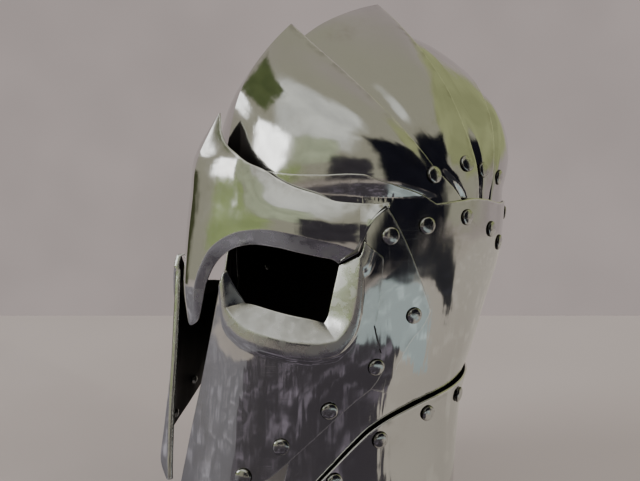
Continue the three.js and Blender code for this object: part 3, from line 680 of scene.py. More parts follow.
@dataclass
class RibbedPlate:
    """A plate drawn by ribs, each a run of places given by turn, height and how far out.

    Lengths are millimetres, turns degrees and heights shares of the ear height. A rib's row
    has a turn and a height for each of its places. most_bend is the share of a run between
    two places that a rounded bend may take.
    """

    form: HelmForm
    name: str
    node: str
    layer: float
    fineness: float = 2.0
    sheet: float = SHEET
    most_bend: float = 0.46
    bend_steps: int = 5
    ribs: tuple[tuple[float, ...], ...] = ()

    @property
    def degree(self) -> float:
        """Length of one degree of turn at the side of the helm."""
        return math.radians(1) * self.form.half_width

    def runs(self) -> list[Array]:
        """The first, second and further places of all the ribs, as arc and height.

        Returns:
            A run for each place, with a row for each rib.
        """
        table = np.array(self.ribs, float)
        scale = np.array((self.degree, self.form.ear_height))
        return [table[:, k : k + 2] * scale for k in range(0, table.shape[1] - 1, 2)]

    def placed(self, run: Array, out: float | Array, *more: float | Array) -> Array:
        """A run of places with how far out they are, and any further values, beside them."""
        return np.column_stack((run, *(np.full(len(run), value) for value in (out, *more))))

    def round_the_back(self, left: Array) -> Array:
        """The ribs of the left side, then those of the right side in reverse.

        Args:
            left: places on the left side, up to the middle of the back.

        Returns:
            All the places.
        """
        right = left[-2::-1].copy()
        right[..., 0] = 360 * self.degree - right[..., 0]
        return np.concatenate((left, right))

    def gauge(self, p: Array) -> Array:
        """The form that the plate follows."""
        return self.form.plate_gauge(p)

    def controls(self) -> Controls:
        """Places along each rib.

        Returns:
            Places as rib, place, (arc, height, out), and how dull where a plate has dull
            parts; the rounding at each place; the ribs at which the plate's outline has a
            corner; and those at which only its lip has.
        """
        raise NotImplementedError

    def _between_ribs(self, places: Array, corners: Sequence[int], at: Array, keys: Array) -> Array:
        """Places between the ribs, smooth but for the corners.

        Args:
            places: places on the ribs.
            corners: ribs at which the outline has a corner.
            at: where to read.
            keys: where the ribs are.

        Returns:
            The places there.
        """
        stops = [0, *corners, len(places) - 1]
        out = np.zeros((len(at),) + places.shape[1:])
        for first, last in zip(stops[:-1], stops[1:]):
            part = (at >= keys[first] - TINY) & (at <= keys[last] + TINY)
            out[part] = monotone(keys[first : last + 1], places[first : last + 1], at[part])
        return out

    def _rounded(self, places: Array, rounding: Array) -> Array:
        """Runs of closely spaced places along each rib, with its bends rounded.

        Args:
            places: places where the ribs bend.
            rounding: how far from its place each bend starts.

        Returns:
            The runs.
        """
        count = places.shape[1]
        gap = np.linalg.norm(np.diff(places, axis=1), axis=-1)
        leave = []
        for k in range(1, count - 1):
            before, here, after = places[:, k - 1], places[:, k], places[:, k + 1]
            back = np.minimum(rounding[k] / np.maximum(gap[:, k - 1], TINY), self.most_bend)[:, None]
            on = np.minimum(rounding[k] / np.maximum(gap[:, k], TINY), self.most_bend)[:, None]
            leave.append((here + (before - here) * back, here, here + (after - here) * on))
        runs = []
        start = places[:, 0]
        for k in range(count - 1):
            end = leave[k][0] if k < len(leave) else places[:, -1]
            longest = float(np.linalg.norm(end - start, axis=-1).max())
            steps = max(2, int(round(longest / self.fineness)))
            shares = np.linspace(0, 1, steps + 1)[:-1]
            support = EDGE_SUPPORT / max(longest, 1.0)
            if k == 0:
                shares = np.sort(np.append(shares, support))
            if k == count - 2:
                shares = np.append(shares, [1 - support, 1.0])
            runs.append(start[:, None] + (end - start)[:, None] * shares[None, :, None])
            if k < len(leave):
                a, b, c = (point[:, None] for point in leave[k])
                s = np.linspace(0, 1, self.bend_steps + 1)[:-1][None, :, None]
                runs.append(a * (1 - s) ** 2 + 2 * b * s * (1 - s) + c * s**2)
                start = leave[k][2]
        return np.concatenate(runs, axis=1)

    def shaped(self, places: Array) -> Array:
        """A last change to the fine grid of places; none for most plates."""
        return places

    def grid(self) -> tuple[Array, list[int], Array]:
        """The outer grid of points, its rows at the corners, and how dull it is.

        Returns:
            The three, in that order.
        """
        places, rounding, corners, lip_corners = self.controls()
        if places.shape[-1] == 3:
            places = np.concatenate((places, 0 * places[..., :1]), axis=-1)
        reach = np.linalg.norm(np.diff(places, axis=0), axis=-1)
        steps = 0.5 * reach.mean(axis=1) + 0.5 * reach.max(axis=1)
        keys = np.concatenate(([0.0], np.cumsum(steps)))
        marks = sorted({*corners, *lip_corners})
        at = spaced(keys[-1], self.fineness)
        at = np.unique(np.concatenate((at, keys[marks]))) if marks else at
        fine = self._between_ribs(places, corners, at, keys)
        if lip_corners:
            fine[:, -2:] = self._between_ribs(places[:, -2:], marks, at, keys)
        fine = self.shaped(self._rounded(fine, rounding))
        rows = [int(np.argmin(np.abs(at - keys[mark]))) for mark in marks]
        turn, height, out = fine[..., 0] / self.degree, fine[..., 1], fine[..., 2]
        outer = self.form.plate_points(self.gauge, turn, height, out + self.sheet)
        return outer, rows, fine[..., 3]

    def build(self, material: Material) -> bpy.types.Object:
        """Makes the plate's mesh and dresses it.

        Args:
            material: its finish.

        Returns:
            The piece.
        """
        outer, rows, dull = self.grid()
        mesh = SheetMesh(outer, self.sheet, dull, sharp_rows=rows).build(self.name, self.form)
        return show(mesh, material, [self.node])


@dataclass
class SideBand(RibbedPlate):
    """The band round the sides and back, with two arms that run forward over the eyes."""

    ribs: tuple[tuple[float, ...], ...] = (
        (20, 0.948, 20, 1, 20, 1.066),
        (26, 0.947, 26, 1, 26, 1.062),
        (32, 0.946, 32, 1, 32, 1.058),
        (38, 0.944, 38, 1, 37.5, 1.056),
        (47, 0.942, 47, 1, 46, 1.056),
        (56, 0.94, 56, 1, 55, 1.059),
        (61.5, 0.88, 61.5, 0.95, 60, 1.058),
        (61.5, 0.62, 63, 0.8, 64, 1.049),
        (50, 0.5, 64.5, 0.68, 67.5, 1.041),
        (42, 0.4, 66, 0.66, 70.5, 1.034),
        (37, 0.31, 68, 0.64, 73.5, 1.026),
        (36, 0.235, 70, 0.62, 76.5, 1.019),
        (37, 0.175, 72, 0.61, 79.5, 1.011),
        (42, 0.16, 75, 0.6, 82, 1.003),
        (48, 0.2, 78, 0.6, 84.5, 0.992),
        (56, 0.25, 82, 0.6, 87.5, 0.979),
        (65, 0.3, 86, 0.61, 92, 0.981),
        (75, 0.335, 91, 0.62, 98, 0.984),
        (88, 0.36, 98, 0.63, 105, 0.987),
        (103, 0.38, 110, 0.64, 113, 0.982),
        (120, 0.4, 124, 0.65, 128, 0.963),
        (148, 0.415, 150, 0.66, 152, 0.955),
        (180, 0.42, 180, 0.66, 180, 0.948),
    )
    waist_rounding: float = 14.0
    temple_rib: int = 15

    def controls(self) -> Controls:
        """Low end, waist and high end of each rib; the upper edge has a corner at each temple.

        Returns:
            What RibbedPlate.controls says.
        """
        left = np.stack([self.placed(run, self.layer) for run in self.runs()], axis=1)
        places = self.round_the_back(left)
        corners = (self.temple_rib, len(places) - 1 - self.temple_rib)
        return places, np.array((0, self.waist_rounding, 0)), corners, ()

    def build(self, material: Material) -> bpy.types.Object:
        """Makes the band; its corners bend the outline and not the face.

        Args:
            material: its finish.

        Returns:
            The piece.
        """
        outer, _, _ = self.grid()
        mesh = SheetMesh(outer, self.sheet).build(self.name, self.form)
        return show(mesh, material, [self.node])


@dataclass
class NeckBand(RibbedPlate):
    """The lowest band; its upper edge stands off the plates above it.

    low_edge is how far its rounded lower edge is drawn up, so that it ends on the floor.
    """

    ribs: tuple[tuple[float, ...], ...] = (
        (44, 0, 36, 0.18),
        (50, 0, 47.5, 0.273),
        (57, 0, 57, 0.339),
        (64, 0, 64, 0.376),
        (72, 0, 72, 0.4),
        (82, 0, 82, 0.418),
        (94, 0, 94, 0.434),
        (108, 0, 108, 0.443),
        (125, 0, 125, 0.449),
        (150, 0, 150, 0.454),
        (180, 0, 180, 0.456),
    )
    stand_off: float = 1.2
    low_edge: float = 0.45
    flare_start: float = 0.7
    flare_rounding: float = 12.0

    def controls(self) -> Controls:
        """Low end, start of the flare and high end of each rib.

        Returns:
            What RibbedPlate.controls says.
        """
        low, high = self.runs()
        low[:, 1] += self.low_edge
        stops = []
        for share, out in ((0, 0), (self.flare_start, 0), (1, self.stand_off)):
            stops.append(self.placed(low * (1 - share) + high * share, self.layer + out))
        left = np.stack(stops, axis=1)
        return self.round_the_back(left), np.array((0, self.flare_rounding, 0)), (), ()


@dataclass
class PairedPlate(RibbedPlate):
    """A plate that the helm has on both sides."""

    hand: Hand = Hand.LEFT

    def build(self, material: Material) -> bpy.types.Object:
        """Makes the plate of its side and dresses it.

        Args:
            material: its finish.

        Returns:
            The piece.
        """
        outer, _, dull = self.grid()
        outer[..., 0] *= self.hand.value
        mesh = SheetMesh(outer, self.sheet, dull).build(self.name, self.form)
        return show(mesh, material, [self.node])


@dataclass
class TemplePlate(PairedPlate):
    """The narrow angular plate behind an eye."""

    ribs: tuple[tuple[float, ...], ...] = (
        (62.5, 0.966, 69.2, 0.971),
        (61.5, 0.925, 72, 0.935),
        (61.5, 0.87, 75.5, 0.884),
        (61.5, 0.81, 79, 0.823),
        (61.5, 0.75, 82.5, 0.763),
        (61.5, 0.69, 86.5, 0.698),
        (61.5, 0.64, 84, 0.66),
        (61.5, 0.6, 79.5, 0.625),
        (61.5, 0.56, 75.5, 0.578),
        (61.8, 0.53, 72.5, 0.53),
        (62.5, 0.502, 70, 0.478),
    )
    point_rib: int = 5

    def controls(self) -> Controls:
        """Front and rear end of each rib; the rear point is a corner."""
        places = np.stack([self.placed(run, self.layer) for run in self.runs()], axis=1)
        return places, np.zeros(2), (self.point_rib,), ()


@dataclass
class CheekPlate(PairedPlate):
    """The long cheek plate, with a raised ring and a flange turned in under the eye.

    The last number of a rib is its flange's depth, as a share of flange_depth. Row by row, the
    front edge goes out by front_overhang and in by front_turn_in.
    """

    ribs: tuple[tuple[float, ...], ...] = (
        (5, 0.178, 17.6, 0.807, 17.9, 0.811, 0.1),
        (7, 0.184, 18.1, 0.766, 20.3, 0.769, 0.45),
        (9.5, 0.19, 18.9, 0.722, 22.6, 0.726, 1),
        (13.5, 0.198, 21.8, 0.691, 25.3, 0.7225, 1),
        (19, 0.212, 25.4, 0.671, 28.7, 0.716, 1),
        (25, 0.238, 31.5, 0.6555, 33.6, 0.706, 1),
        (32, 0.284, 38.5, 0.643, 38.2, 0.698, 1),
        (40, 0.352, 45.1, 0.638, 43.4, 0.69, 1),
        (49, 0.42, 51.1, 0.6455, 47.9, 0.68, 1),
        (57, 0.472, 54.2, 0.6705, 49.1, 0.699, 1),
        (63.5, 0.508, 56.3, 0.707, 49.9, 0.7285, 1),
        (66.9, 0.545, 57.5, 0.754, 50.8, 0.763, 1),
        (66.5, 0.59, 58.3, 0.811, 51.7, 0.7965, 1),
        (64.4, 0.66, 58.8, 0.856, 52.5, 0.8275, 1),
        (65.8, 0.75, 59.6, 0.8655, 59.1, 0.8665, 0.08),
        (67, 0.85, 60.5, 0.893, 60, 0.894, 0.08),
    )
    ring_width: float = 11.0
    ring_rise: float = 1.8
    flange_depth: float = 9.0
    most_ring: float = 0.6
    ring_top: float = 0.72
    ring_dull: float = 0.65
    crease_rise: float = 0.8
    crease_dull: float = 0.75
    rounding: tuple[float, ...] = (0, 2.6, 2.4, 1.5, 0)
    corner_ribs: tuple[int, ...] = (11,)
    lip_corner_ribs: tuple[int, ...] = (2, 8, 13)
    front_steps: tuple[float, ...] = (1.0, 0.82, 0.62, 0.4, 0.2, 0.07)
    front_overhang: float = 1.6
    front_turn_in: float = 3.6
    front_bend: float = 1.6
    front_dull: float = 0.7

    def controls(self) -> Controls:
        """Low end, foot and top of the ring, crease and lip of each rib.

        Returns:
            What RibbedPlate.controls says.
        """
        low, high, lip = self.runs()
        length = np.linalg.norm(high - low, axis=1)
        ring = np.minimum(self.ring_width / np.maximum(length, 1), self.most_ring)[:, None]
        foot, top = (low + (high - low) * (1 - share * ring) for share in (1.0, self.ring_top))
        depth = self.flange_depth * np.array([row[-1] for row in self.ribs], float)
        stops = (
            self.placed(low, self.layer, 0.0),
            self.placed(foot, self.layer, 0.0),
            self.placed(top, self.layer + self.ring_rise, self.ring_dull),
            self.placed(high, self.layer + self.ring_rise * self.crease_rise, self.crease_dull),
            self.placed(lip, self.layer - depth, 1.0),
        )
        return np.stack(stops, axis=1), np.array(self.rounding), self.corner_ribs, self.lip_corner_ribs

    def shaped(self, places: Array) -> Array:
        """Turns the front edge in.

        Args:
            places: the fine grid.

        Returns:
            The grid with rows before its first.
        """
        rows = []
        for step in self.front_steps:
            row = places[:1].copy()
            row[..., 0] -= self.front_overhang * (1 - (1 - step) ** 2)
            row[..., 2] -= self.front_turn_in * step**self.front_bend
            row[..., 3] = np.maximum(row[..., 3], self.front_dull * step)
            rows.append(row)
        return np.concatenate((*rows, places))


@dataclass
class BrowNasal(RibbedPlate):
    """The keeled brow with the nose guard, and a flange turned in over the eyes.

    The last number of a rib is its flange's depth, as a share of flange_depth. Between the
    hug_turns the brow's upper edge draws in, to arm_clearance over the arms below it.
    """

    ribs: tuple[tuple[float, ...], ...] = (
        (0, 0.639, 0, 1.216, 0, 0.635, 0.12),
        (1.5, 0.655, 2.6, 1.19, 2.4, 0.652, 0.2),
        (2.6, 0.706, 4.2, 1.172, 4.6, 0.703, 0.33),
        (4, 0.774, 6.4, 1.155, 6.7, 0.772, 0.42),
        (6.2, 0.821, 10, 1.132, 9.2, 0.8155, 0.49),
        (9, 0.858, 15.5, 1.108, 12.5, 0.845, 0.53),
        (14.2, 0.891, 20, 1.086, 17.5, 0.868, 0.53),
        (20, 0.9105, 25, 1.069, 23.5, 0.877, 0.53),
        (27.5, 0.918, 30, 1.047, 30, 0.8735, 0.53),
        (36, 0.9105, 36.5, 1.026, 37.7, 0.8625, 0.53),
        (44.5, 0.897, 44.5, 1.009, 44.5, 0.8525, 0.53),
        (52.5, 0.883, 52, 0.991, 50.1, 0.8445, 0.53),
        (58.8, 0.866, 59.5, 0.987, 52.1, 0.835, 0.53),
        (60.2, 0.895, 62, 0.986, 59.8, 0.893, 0.1),
        (63, 0.94, 65.5, 0.986, 62.8, 0.938, 0.1),
        (68, 0.979, 69.5, 0.99, 67.8, 0.977, 0.1),
    )
    flange_depth: float = 9.0
    hug_turns: tuple[float, float] = (16.0, 30.0)
    arm_clearance: float = 2.6
    keel_rise: float = 1.8
    keel_width: float = 6.0
    stops: tuple[float, ...] = (1.0, 0.75, 0.5, 0.25, 0.04, 0.0)
    crease_dull: float = 0.6
    rounding: tuple[float, ...] = (0, 9.0, 9.0, 9.0, 1.0, 1.4, 0)
    corner_rib: int = 12

    def gauge(self, p: Array) -> Array:
        """The form that the brow follows."""
        return self.form.brow_gauge(p)

    def controls(self) -> Controls:
        """High end, crease and lip of each rib, from the right side to the left.

        Returns:
            What RibbedPlate.controls says.
        """
        low, high, lip = self.runs()
        stops = []
        for share in self.stops:
            run = low * (1 - share) + high * share
            dull = 0.0 if share else self.crease_dull
            stops.append(self.placed(run, self.layer - self._hug(run, share), dull))
        depth = self.flange_depth * np.array([row[-1] for row in self.ribs], float)
        stops.append(self.placed(lip, self.layer - depth, 1.0))
        left = np.stack(stops, axis=1)
        right = left[:0:-1].copy()
        right[..., 0] *= -1
        middle = len(right)
        corners = (middle - self.corner_rib, middle, middle + self.corner_rib)
        return np.concatenate((right, left)), np.array(self.rounding), corners, ()

    def _hug(self, place: Array, share: float) -> Array:
        """How far the brow is drawn in, so that its upper edge lies close over the arms below it.

        Args:
            place: arc and height of a place on each rib.
            share: how far up the ribs the places are.

        Returns:
            A length for each rib.
        """
        turn, height = place[:, 0] / self.degree, place[:, 1]
        angle, zero = np.radians(turn), 0 * turn
        start = np.stack((zero, zero, height), axis=-1)
        along = np.stack((np.sin(angle), -np.cos(angle), zero), axis=-1)
        reach = [
            np.linalg.norm(self.form.cast(gauge, start, along) - start, axis=-1)
            for gauge in (self.gauge, self.form.plate_gauge)
        ]
        first, last = self.hug_turns
        part = eased(np.clip((np.abs(turn) - first) / (last - first), 0, 1))
        return part * share**2 * (reach[0] - reach[1] + self.layer - self.arm_clearance)

    def shaped(self, places: Array) -> Array:
        """Draws the keel out to a crease.

        Args:
            places: the fine grid.

        Returns:
            The grid.
        """
        arc = np.abs(places[..., 0])
        places[..., 2] += self.keel_rise * np.exp(-arc / self.keel_width)
        return places


@dataclass
class SkullLame:
    """One of the four lames of the skull, tucked under the lame before it.

    Its edges are turns about the fan point, at the keel, at side_spread and at its end. The
    joggle is the turn over which it steps down under the lame before it.
    """

    form: HelmForm
    name: str
    node: str
    rise: float
    front_keel: float
    front_side: float
    rear_keel: float
    rear_side: float
    rear_end: float
    before: "SkullLame | None" = None
    layer: float = LAYER
    sheet: float = SHEET
    joggle_turn: float = 7.0
    apex_sharpness: float = 5.7
    half_spread: float = 75.0
    side_spread: float = 55.0
    end_spread: float = 11.0
    joggle_start: float = 1.0
    keel_joggle: float = 7.0
    keel_reach: float = 25.0
    keel_rise: float = 0.6
    keel_width: float = 6.0
    spread_step: float = 1.15
    turn_step: float = 1.05
    support: float = 0.2

    def _to_side(self, spread: Array) -> Array:
        """How far out from the keel to the side a turn is, at most one."""
        return np.clip(np.abs(spread) / self.side_spread, 0, 1)

    def front_edge(self, spread: Array) -> Array:
        """Turn of the front edge about the fan point."""
        return self.front_keel + (self.front_side - self.front_keel) * self._to_side(spread)

    def rear_edge(self, spread: Array) -> Array:
        """Turn of the rear edge about the fan point.

        Args:
            spread: turns away from the keel.

        Returns:
            Turns, in degrees.
        """
        end = np.clip((np.abs(spread) - self.side_spread) / self.end_spread, 0, 1)
        side = self.rear_keel + (self.rear_side - self.rear_keel) * self._to_side(spread)
        return side + (self.rear_end - self.rear_side) * end

    def _out(self, turn: Array, spread: Array) -> Array:
        """How far out from the skull the lame lies: deeper where another covers it.

        Args:
            turn: turns about the fan point.
            spread: turns away from the keel.

        Returns:
            A length for each point.
        """
        if not self.before:
            return np.full(turn.shape, -self.layer)
        near_keel = np.maximum(0, 1 - np.abs(spread) / self.keel_reach)
        joggle = self.joggle_turn + (self.keel_joggle - self.joggle_turn) * near_keel
        past = (turn - self.before.rear_edge(spread)[None] - self.joggle_start) / joggle[None]
        return -self.layer * (2 - eased(np.clip(past, 0, 1)))

    def _lift(self, shares: Array, spread: Array) -> Array:
        """How far the lame rises towards its point and along its keel.

        Args:
            shares: how far back from the front edge.
            spread: turns away from the keel.

        Returns:
            A length for each point.
        """
        fall = (1 - np.abs(spread) / 90) ** self.apex_sharpness
        lift = self.rise * shares[:, None] ** 2 * fall[None]
        return lift + self.keel_rise * np.exp(-np.abs(spread) / self.keel_width)[None]

    def build(self, material: Material) -> bpy.types.Object:
        """Makes the lame's mesh and dresses it.

        Args:
            material: its finish.

        Returns:
            The piece.
        """
        half = np.delete(spaced(self.half_spread, self.spread_step, self.support), 1)
        spread = np.concatenate((-half[:0:-1], half))
        middle = len(half) - 1
        front, rear = self.front_edge(spread), self.rear_edge(spread)
        longest = float((rear - front).max())
        shares = spaced(longest, self.turn_step, self.support) / longest
        turn = front[None] + (rear - front)[None] * shares[:, None]
        out, lift = self._out(turn, spread), self._lift(shares, spread)
        grid = np.broadcast_to(spread, turn.shape)
        outer = self.form.fan_points(turn, grid, out + self.sheet, lift)
        mesh = SheetMesh(outer, self.sheet, sharp_columns=[middle]).build(self.name, self.form)
        return show(mesh, material, [self.node])


# Nodes


class NodeSheet:
    """A node tree with short ways to add nodes and link them."""

    def __init__(self, tree: bpy.types.NodeTree) -> None:
        """Keeps the tree."""
        self.tree = tree

    def declare(self, sockets: Sequence[tuple[str, str]], way: str) -> None:
        """Adds named sockets to the tree.

        Args:
            sockets: names and types.
            way: INPUT or OUTPUT.
        """
        for label, kind in sockets:
            self.tree.interface.new_socket(label, in_out=way, socket_type=kind)

    def add(self, kind: str, **settings: object) -> bpy.types.Node:
        """Adds a node.

        Args:
            kind: type of the node.
            settings: properties of it.

        Returns:
            The node.
        """
        node = self.tree.nodes.new(kind)
        for key, value in settings.items():
            setattr(node, key, value)
        return node

    def feed(self, socket: Socket, value: object) -> None:
        """Gives a socket a value, or links another socket to it.

        Args:
            socket: the input.
            value: what it gets.
        """
        if isinstance(value, Socket):
            self.tree.links.new(value, socket)
        else:
            socket.default_value = value

    def feed_all(self, node: bpy.types.Node, values: dict[str, object]) -> bpy.types.Node:
        """Gives a node's inputs values or links, by their names.

        Args:
            node: the node.
            values: what each input gets.

        Returns:
            The node.
        """
        for name, value in values.items():
            self.feed(node.inputs[name], value)
        return node

    def math(self, operation: str, *values: object) -> Socket:
        """One step of arithmetic on numbers or sockets.

        Args:
            operation: what is done.
            values: to what.

        Returns:
            The result.
        """
        node = self.add("ShaderNodeMath", operation=operation)
        for socket, value in zip(node.inputs, values):
            self.feed(socket, value)
        return node.outputs[0]

    def product(self, first: object, second: object) -> Socket:
        """Two numbers or sockets multiplied."""
        return self.math("MULTIPLY", first, second)

    def vector(self, *parts: object) -> Socket:
        """A vector of three numbers or sockets.

        Args:
            parts: the three.

        Returns:
            The vector.
        """
        node = self.add("ShaderNodeCombineXYZ")
        for socket, part in zip(node.inputs, parts):
            self.feed(socket, part)
        return node.outputs[0]

    def parts(self, vector: Socket) -> bpy.types.NodeOutputs:
        """The three parts of a vector, by their letters.

        Args:
            vector: the vector.

        Returns:
            Its parts.
        """
        node = self.add("ShaderNodeSeparateXYZ")
        self.feed(node.inputs[0], vector)
        return node.outputs

    def ramp(self, value: object, low: float, high: float, start: float = 0, end: float = 1) -> Socket:
        """A number carried smoothly from one range to another.

        Args:
            value: the number.
            low: where the ramp starts.
            high: where it ends.
            start: what it gives up to there.
            end: what it gives from there on.

        Returns:
            The socket.
        """
        node = self.add("ShaderNodeMapRange", interpolation_type="SMOOTHSTEP")
        limits = {"Value": value, "From Min": low, "From Max": high, "To Min": start, "To Max": end}
        return self.feed_all(node, limits).outputs[0]

    def noise(self, vector: object, scale: float, detail: float = 2, roughness: float = 0.5) -> Socket:
        """Noise from nought to one."""
        values = {"Vector": vector, "Scale": scale, "Detail": detail, "Roughness": roughness}
        return self.feed_all(self.add("ShaderNodeTexNoise"), values).outputs["Fac"]

    def stretched(self, vector: object, scale: Triple, turn: Triple = (0, 0, 0)) -> Socket:
        """A place with each direction scaled by its own amount, after a turn."""
        values = {"Vector": vector, "Scale": scale, "Rotation": turn}
        return self.feed_all(self.add("ShaderNodeMapping"), values).outputs[0]

    def blend(self, share: object, one: object, other: object) -> Socket:
        """Colour between two colours.

        Args:
            share: how much of the other.
            one: colour at nought.
            other: colour at one.

        Returns:
            The colour.
        """
        node = self.add("ShaderNodeMix", data_type="RGBA")
        self.feed(node.inputs["Factor"], share)
        for name, value in (("A", one), ("B", other)):
            socket = next(s for s in node.inputs if s.name == name and s.type == "RGBA")
            self.feed(socket, (*value, 1.0) if isinstance(value, tuple) else value)
        return next(s for s in node.outputs if s.type == "RGBA")

    def between(self, share: object, one: object, other: object) -> Socket:
        """Number between two numbers."""
        node = self.add("ShaderNodeMix", data_type="FLOAT")
        return self.feed_all(node, {"Factor": share, "A": one, "B": other}).outputs["Result"]

    def bump(self, height: object, distance: float, strength: float) -> bpy.types.Node:
        """Adds a node that bends the normal by a height."""
        values = {"Height": height, "Distance": distance, "Strength": strength}
        return self.feed_all(self.add("ShaderNodeBump"), values)


class FinishSheet(NodeSheet):
    """The nodes of a new material, round its main shader."""

    def __init__(self, name: str) -> None:
        """Makes the material.

        Args:
            name: its name.
        """
        self.material = bpy.data.materials.new(name)
        self.material.use_nodes = True
        super().__init__(self.material.node_tree)
        self.shader = self.tree.nodes["Principled BSDF"]
        self.place = self.add("ShaderNodeTexCoord").outputs["Object"]

    def attribute(self, name: str) -> Socket:
        """A number that the mesh keeps for each vertex."""
        return self.add("ShaderNodeAttribute", attribute_name=name).outputs["Fac"]

    def finished(self, values: dict[str, object]) -> Material:
        """The material, once its main shader has been given values or links."""
        self.feed_all(self.shader, values)
        return self.material


# Rivets


@dataclass
class Rivets:
    """Round-headed rivets, set through the plates where they lap.

    Lengths are millimetres. on_lames gives turns about the fan point and away from the keel,
    on_plates turns from the front and heights as shares of the ear height.
    """

    form: HelmForm
    head_radius: float = 5.3
    head_rise: float = 2.2
    shank_radius: float = 1.9
    tail_radius: float = 3.2
    tail_rise: float = 1.2
    seat_layer: float = -LAYER
    head_sizes: tuple[float, float] = (0.95, 1.03)
    dome_power: float = 0.72
    dome_segments: int = 24
    dome_rings: int = 18
    shank_sides: int = 14
    crease_turn: float = 50.0
    seed: int = 7
    on_lames: tuple[tuple[str, float, float], ...] = (
        ("rivet_front", 48.5, 55),
        ("rivet_crown", 73.5, 58),
        ("rivet_rear", 90, 60.5),
        ("rivet_back", 114.5, 59),
    )
    on_plates: tuple[tuple[str, float, float], ...] = (
        ("rivet_side_a", 83.5, 0.927),
        ("rivet_side_b", 102, 0.94),
        ("rivet_side_c", 118.5, 0.897),
        ("rivet_side_d", 129, 0.849),
        ("rivet_side_e", 146, 0.922),
        ("rivet_temple_a", 69.8, 0.905),
        ("rivet_temple_b", 79.2, 0.694),
        ("rivet_cheek_a", 64.6, 0.567),
        ("rivet_cheek_b", 48.5, 0.457),
        ("rivet_cheek_c", 35, 0.366),
        ("rivet_cheek_d", 26, 0.284),
        ("rivet_neck_a", 50, 0.256),
        ("rivet_neck_b", 67.5, 0.349),
        ("rivet_neck_c", 92, 0.394),
        ("rivet_neck_d", 116, 0.406),
        ("rivet_neck_e", 150, 0.427),
    )

    def _lines(self) -> tuple[list[str], Array, Array]:
        """Node names, points on the helm and outward directions of all the rivets.

        Returns:
            The three, in that order.
        """
        names, points, axes = [], [], []
        lames = np.array([row[1:] for row in self.on_lames], float)
        plates = np.array([row[1:] for row in self.on_plates], float)
        for hand in Hand:
            still = np.zeros(len(lames))
            out = still + self.seat_layer
            p = self.form.fan_points(lames[:, 0], hand.value * lames[:, 1], out, still)
            points.append(p)
            axes.append(self.form.normals(self.form.skull_gauge, p, False))
            still = np.zeros(len(plates))
            gauge = self.form.plate_gauge
            height = plates[:, 1] * self.form.ear_height
            p = self.form.plate_points(gauge, hand.value * plates[:, 0], height, still)
            points.append(p)
            axes.append(self.form.normals(gauge, p, False))
            names += [f"{row[0]}_{hand.name.lower()}" for row in (*self.on_lames, *self.on_plates)]
        return names, np.concatenate(points), np.concatenate(axes)

    def _seats(self) -> tuple[list[str], bpy.types.Mesh]:
        """A mesh of one point for each rivet under its head, with its axis and grip.

        Returns:
            The rivets' nodes, and the mesh.
        """
        names, points, axes = self._lines()
        seats, grips = [], []
        for name, point, axis in zip(names, self.form.placed(points), axes):
            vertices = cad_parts[name].data.vertices
            corners = np.zeros(len(vertices) * 3)
            vertices.foreach_get("co", corners)
            along = (corners.reshape(-1, 3) - point) @ axis
            top = along.max() - self.head_rise * MM
            seats.append(point + axis * top)
            grips.append(top - (along.min() + self.tail_rise * MM))
        mesh = bpy.data.meshes.new("rivet_seats")
        mesh.from_pydata([tuple(seat) for seat in seats], [], [])
        mesh.attributes.new("axis", "FLOAT_VECTOR", "POINT").data.foreach_set("vector", axes.ravel())
        mesh.attributes.new("grip", "FLOAT", "POINT").data.foreach_set("value", grips)
        return names, mesh

    def _sizes(self) -> dict[str, float]:
        """The sizes that the nodes take, in metres, by the names of their inputs.

        Returns:
            The sizes.
        """
        return {
            "Head radius": self.head_radius * MM,
            "Head rise": self.head_rise * MM,
            "Shank radius": self.shank_radius * MM,
            "Tail radius": self.tail_radius * MM,
            "Tail rise": self.tail_rise * MM,
        }

    def _dome(self, sheet: NodeSheet, radius: object, rise: object, flip: bool) -> Socket:
        """A cap with a flat underside, of unit size until it is scaled.

        Args:
            sheet: the nodes.
            radius: its radius.
            rise: its height.
            flip: whether it is turned over.

        Returns:
            Its geometry.
        """
        ball = sheet.add("GeometryNodeMeshUVSphere")
        sheet.feed_all(ball, {"Segments": self.dome_segments, "Rings": self.dome_rings, "Radius": 1.0})
        place = sheet.parts(sheet.add("GeometryNodeInputPosition").outputs[0])
        up = sheet.math("POWER", sheet.math("MAXIMUM", place["Z"], 0.0), self.dome_power)
        kept = sheet.add("GeometryNodeStoreNamedAttribute", data_type="FLOAT", domain="POINT")
        sheet.feed_all(kept, {"Name": "rise", "Geometry": ball.outputs["Mesh"], "Value": up})
        press, grow = sheet.add("GeometryNodeSetPosition"), sheet.add("GeometryNodeTransform")
        pressed = {"Geometry": kept.outputs[0], "Position": sheet.vector(place["X"], place["Y"], up)}
        sheet.feed_all(press, pressed)
        grown = {"Geometry": press.outputs[0], "Scale": sheet.vector(radius, radius, rise)}
        sheet.feed_all(grow, grown)
        if flip:
            sheet.feed(grow.inputs["Rotation"], (math.pi, 0.0, 0.0))
        return grow.outputs[0]

    def _shank(self, sheet: NodeSheet, radius: object) -> Socket:
        """A bar of unit length that hangs down from its place.

        Args:
            sheet: the nodes.
            radius: its radius.

        Returns:
            Its geometry.
        """
        bar, drop = sheet.add("GeometryNodeMeshCylinder"), sheet.add("GeometryNodeTransform")
        sheet.feed_all(bar, {"Vertices": self.shank_sides, "Depth": 1.0, "Radius": radius})
        sheet.feed_all(drop, {"Translation": (0.0, 0.0, -0.5), "Geometry": bar.outputs["Mesh"]})
        return drop.outputs[0]

